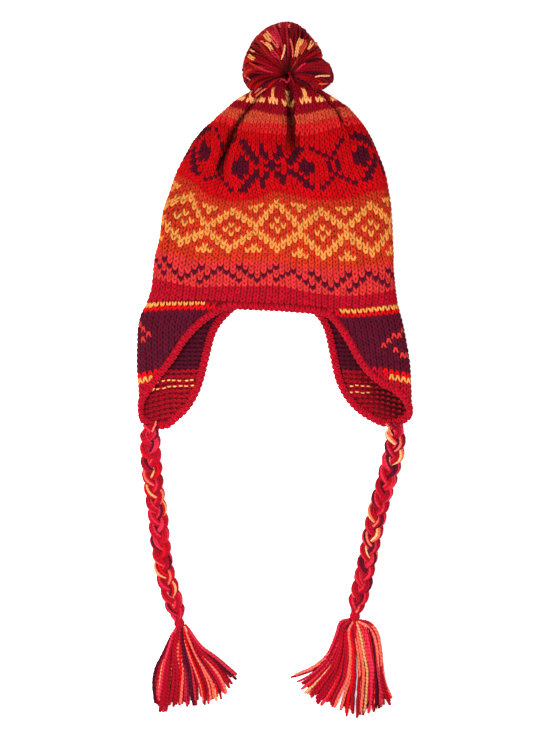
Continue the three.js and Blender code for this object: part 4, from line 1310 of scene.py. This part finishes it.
# Cut ends that show on the front: x and y of the end and of its foot, dye, how many
STREAKS = [
    (-10.5, 189, -3, 181, "straw", 2), (-7.5, 192.5, -3, 185.5, "straw", 1),
    (-3.2, 185.6, 4, 174, "salmon", 2), (-14, 182, -8.6, 178.7, "salmon", 1),
    (-9, 179.5, -1.5, 172, "straw", 2), (-4, 172, 5, 163, "rose", 2),
    (-23.5, 174.5, -20, 171, "straw", 1), (-26.5, 168, -19.4, 164, "straw", 2),
    (10.8, 178.5, 7.3, 162, "bone", 1), (16, 184, 18.5, 164.5, "salmon", 1),
    (26, 184.5, 20.4, 165, "straw", 2), (29, 184, 24, 175, "straw", 1),
    (31, 183, 25, 168, "rust", 3), (38.5, 183, 33.5, 173, "straw", 2),
    (43, 183, 39, 178, "straw", 1), (57, 149.3, 40, 145.6, "bone", 1),
    (56, 140.4, 44, 140.2, "salmon", 1), (-30, 148.5, -23.5, 144, "salmon", 1),
    (-2, 193, 5, 176, "rose", 3), (4.5, 200, 6, 196, "salmon", 1),
    (14.5, 199, 15, 195, "salmon", 1), (-22, 157, -1, 149.5, "rose", 1),
    (-26, 161, -10, 153, "burnt", 1), (33, 160, 20, 152, "rose", 1),
]
# Loose ends and the knot's own yarn: points in mm and dye
TAILS = [
    ([(-2, 141, 56), (-9, 137.5, 57), (-14, 135.5, 55), (-21, 129, 49)], "salmon"),
    ([(-8, 135.5, 57), (-13, 132, 56), (-19.5, 127, 50)], "salmon"),
    ([(5, 142, 56), (7, 144.5, 57.5), (10, 143.5, 57.5), (12.5, 141, 57.5), (15.5, 146, 57.5)],
     "rose"),
    ([(20, 139, 56), (16.5, 146, 58), (14, 151.5, 56)], "crimson"),
]


def ball_edge(heading):
    """How far the ball's edge is from the knot, and how far its ellipse is."""
    degrees = np.degrees(heading.ravel())
    edge = glide(POMPOM_EDGE[:, 0], POMPOM_EDGE[:, 1], degrees).reshape(heading.shape) - 1.2
    offset = (POMPOM_KNOT[:2] - POMPOM_MIDDLE[:2]) / POMPOM_RADII[:2]
    ray = np.stack([np.cos(heading), np.sin(heading)], axis=-1) / POMPOM_RADII[:2]
    a, b, c = (ray**2).sum(-1), (ray * offset).sum(-1), (offset**2).sum() - 1
    return edge, (-b + np.sqrt(b**2 - a * c)) / a


def over_ball(heading, out, shell):
    """Places over the ball: a direction from the knot, mm outwards, and the shell's share."""
    edge, ellipse = ball_edge(heading)
    way = np.stack([np.cos(heading), np.sin(heading)], axis=-1)
    inner = POMPOM_KNOT[:2] + way * (out * ellipse / edge)[..., None]
    level = 1 - (((inner - POMPOM_MIDDLE[:2]) / POMPOM_RADII[:2]) ** 2).sum(-1)
    height = (POMPOM_RADII[2] - 1.5) * np.sqrt(np.maximum(level, 0.0))
    z = POMPOM_MIDDLE[2] + shell * height * smooth_step(out / DIMPLE)
    plan = POMPOM_KNOT[:2] + way * out[..., None]
    return np.concatenate([plan, z[..., None]], axis=-1)


def in_hollows(places):
    """How much light is left at places on the ball."""
    light = np.ones(places.shape[:-1])
    for x, y, wide, tall, darkness in HOLLOWS:
        off = ((places[..., 0] - x) / wide) ** 2 + ((places[..., 1] - y) / tall) ** 2
        light *= 1 - darkness * np.exp(-off)
    return light[..., None]


def cut_piece(name, paths, thickness, yarn_colours):
    """Lengths of the pompom's yarn, as one piece."""
    lay_yarn(name, paths, UP, thickness, yarn_colours, loose_wool, "pompom", lobes=0.12,
             ply=LOOSE_PLY)


chance = np.random.default_rng(POMPOM_SEED)
count = POMPOM_YARNS
t = np.linspace(0, 1, POMPOM_RINGS)[None, :]
degrees = np.linspace(-29, 211, count)
lock = np.arange(count) // LOCK
locks = lock.max() + 1
sweep = np.radians(degrees + chance.normal(0, 2.2, count))[:, None]
bend = (chance.normal(0, 0.13, locks)[lock] + chance.normal(0, 0.05, count))[:, None]
droop = 0.11 * (sweep - math.radians(95)) * np.abs(sweep - math.radians(95))
shell = np.sign(chance.uniform(-1, 1, count)) * chance.uniform(0.03, 1, count) ** 0.5
bend *= np.clip(2 * np.abs(shell) - 1, 0, 1)[:, None]  # a parting stays in the outer lengths
heading = np.clip(sweep + (bend + droop) * t**2, math.radians(-30), math.radians(212))
dent = 0.16 * chance.uniform(0, 1, locks)[lock][:, None]
shell = shell[:, None] * (1 - dent * np.sin(math.pi * t) ** 2)
share = np.where(np.abs(shell[:, :1]) > 0.5, chance.uniform(0.93, 1, (count, 1)), 0.85)
edge, _ = ball_edge(heading)
ragged = np.where(np.abs(sweep) < 0.9, 0.045, 0.008) * chance.normal(0, 1, locks)[lock][:, None]
out = edge * (0.02 + 0.98 * np.sin(t * share * math.pi / 2)) * (1 + ragged * t)
paths = over_ball(heading, np.minimum(out, edge * 1.04), shell)
sideways = np.stack([-np.sin(heading), np.cos(heading), 0 * heading], axis=-1)
wave = chance.uniform(0.2, 0.9, (count, 1)) * np.sin(
    t * chance.uniform(4, 10, (count, 1)) + chance.uniform(0, 6, (count, 1))
)
paths = paths + (wave * t)[..., None] * sideways
paths[..., 2] = np.clip(paths[..., 2], 1.8, 74.8)
starts = np.array([start for start, _ in POMPOM_DYES])
yarn_colours = np.array([
    DYES[chance.choice(POMPOM_DYES[np.searchsorted(starts, d, side="right") - 1][1].split())]
    for d in np.clip(degrees + chance.normal(0, 8, count), -30, 212)
])
yarn_colours = yarn_colours * chance.uniform(0.6, 1.3, (count, 1))
yarn_colours = yarn_colours * chance.uniform(0.8, 1.2, locks)[lock][:, None]
# Painted shade: the yarn's colour is darkened in the hollows
yarn_colours = yarn_colours[:, None] * in_hollows(paths)
thickness = chance.uniform(1.1, 1.4, (count, 1)) * glide(*POMPOM_GIRTH, t[0])
cut_piece("pompom_yarns", paths, thickness, yarn_colours)

# %% Cut ends on the front of the ball
STREAK_GAP, STREAK_RADIUS, TAIL_RADIUS = 1.9, 0.95, 1.05
STREAK_GIRTH = np.array([0.5, 0.8, 1, 1, 1, 1, 1, 1, 0.8])
paths, yarn_colours = [], []
for x1, y1, x0, y0, name, many in STREAKS:
    across = unit(np.array([y1 - y0, x0 - x1]))
    for k in range(many):
        nudge = (k - (many - 1) / 2) * STREAK_GAP * across
        a, b = (np.array(p) + nudge - POMPOM_KNOT[:2] for p in ((x0, y0), (x1, y1)))
        plan = a + (b - a) * np.linspace(0, 1, 9)[:, None] * chance.uniform(0.85, 1.0)
        plan += 0.5 * across * np.sin(np.linspace(0, 5, 9) + chance.uniform(0, 6))[:, None]
        angle = (np.arctan2(plan[:, 1], plan[:, 0]) + math.pi / 2) % (2 * math.pi) - math.pi / 2
        place = over_ball(angle, np.hypot(plan[:, 0], plan[:, 1]), 1.0)
        place[:, 2] = np.minimum(place[:, 2] + 0.3, 74.9)
        paths.append(place)
        yarn_colours.append(np.minimum(DYES[name] * chance.uniform(1.1, 1.4), 0.95))
cut_piece("pompom_cut_ends", np.array(paths), STREAK_RADIUS * STREAK_GIRTH, np.array(yarn_colours))

# %% Loose ends below the ball, and the ball's heart
tails = np.array([plain_path(points, 16) for points, _ in TAILS])
cut_piece("pompom_loose_ends", tails, TAIL_RADIUS,
          np.array([DYES[name] for _, name in TAILS]))

HEART_BALLS = ((13, 153, 33), 9), ((11, 174, 36), 22)  # middles and radii
# Painted shade: the heart is crimson darkened to this share, a dark core for the shade deep inside
# the ball
HEART_SHADE = 0.2
heart = bmesh.new()
heart.loops.layers.uv.new("twist")
for middle, radius in HEART_BALLS:
    ball = bmesh.ops.create_icosphere(heart, subdivisions=3, radius=radius * MM, calc_uvs=True)
    bmesh.ops.translate(heart, verts=ball["verts"], vec=np.array(middle) * MM)
heart_piece = from_shape("pompom_heart", heart, loose_wool)
paint(heart_piece, np.tile(DYES["crimson"] * HEART_SHADE, (len(heart_piece.data.vertices), 1)))
dress(heart_piece, "pompom")
print("heart:", len(heart_piece.data.polygons), "triangles")

# %% [markdown]
# ## Light and table
#
# The photograph has soft studio light that is strongest over the ear flaps and fades towards
# the pompom, on a ground that is white all over. A wide spot with a soft edge gives the fade,
# and a weak even sky fills the shadows. The table glows a little, so that it stays white
# where the spot doesn't reach.

# %% Floor and lights
SKY, TABLE_GLOW = 1.05, 0.5
TABLE_WHITE, TABLE_HALF = 0.9, 3  # its half width in m
floor_material, floor_thread, floor_shader = blank_material("pale_floor")
floor_grain = floor_thread.node("ShaderNodeTexNoise", Scale=40, Detail=2)
floor_thread.tree.links.new((floor_grain * 0.02 + 0.9).socket, floor_shader.inputs["Roughness"])
floor_shader.inputs["Base Color"].default_value = (*[TABLE_WHITE] * 3, 1)
floor_shader.inputs["Emission Color"].default_value = (1, 1, 1, 1)
floor_shader.inputs["Emission Strength"].default_value = TABLE_GLOW

floor_shape = bmesh.new()
bmesh.ops.create_grid(floor_shape, x_segments=2, y_segments=2, size=TABLE_HALF)
from_shape("table", floor_shape, floor_material)

world = bpy.data.worlds.new("studio")
bpy.context.scene.world = world
world.use_nodes = True
sky = world.node_tree.nodes["Background"]
sky.inputs[0].default_value, sky.inputs[1].default_value = (1, 1, 1, 1), SKY

# Place and aim in m, size in m, power in W, width of the beam in degrees and its soft share
SPOT_PLACE, SPOT_AIM = np.array([-0.35, -0.35, 1.4]), np.array([0.0, -0.25, 0.0])
SPOT_SIZE, SPOT_POWER, SPOT_BEAM, SPOT_EDGE = 0.2, 190, 29, 0.4
light = bpy.data.lights.new("spot_above", "SPOT")
light.shadow_soft_size, light.energy = SPOT_SIZE, SPOT_POWER
light.spot_size, light.spot_blend = math.radians(SPOT_BEAM), SPOT_EDGE
lamp = bpy.data.objects.new("spot_above", light)
lamp.location = SPOT_PLACE
aim = SPOT_AIM - SPOT_PLACE
tilt, swivel = math.atan2(math.hypot(aim[0], aim[1]), -aim[2]), math.atan2(aim[1], aim[0])
lamp.rotation_euler = (tilt, 0, swivel - math.pi / 2)
bpy.context.collection.objects.link(lamp)
print("spot tilted by", round(math.degrees(tilt)), "degrees")
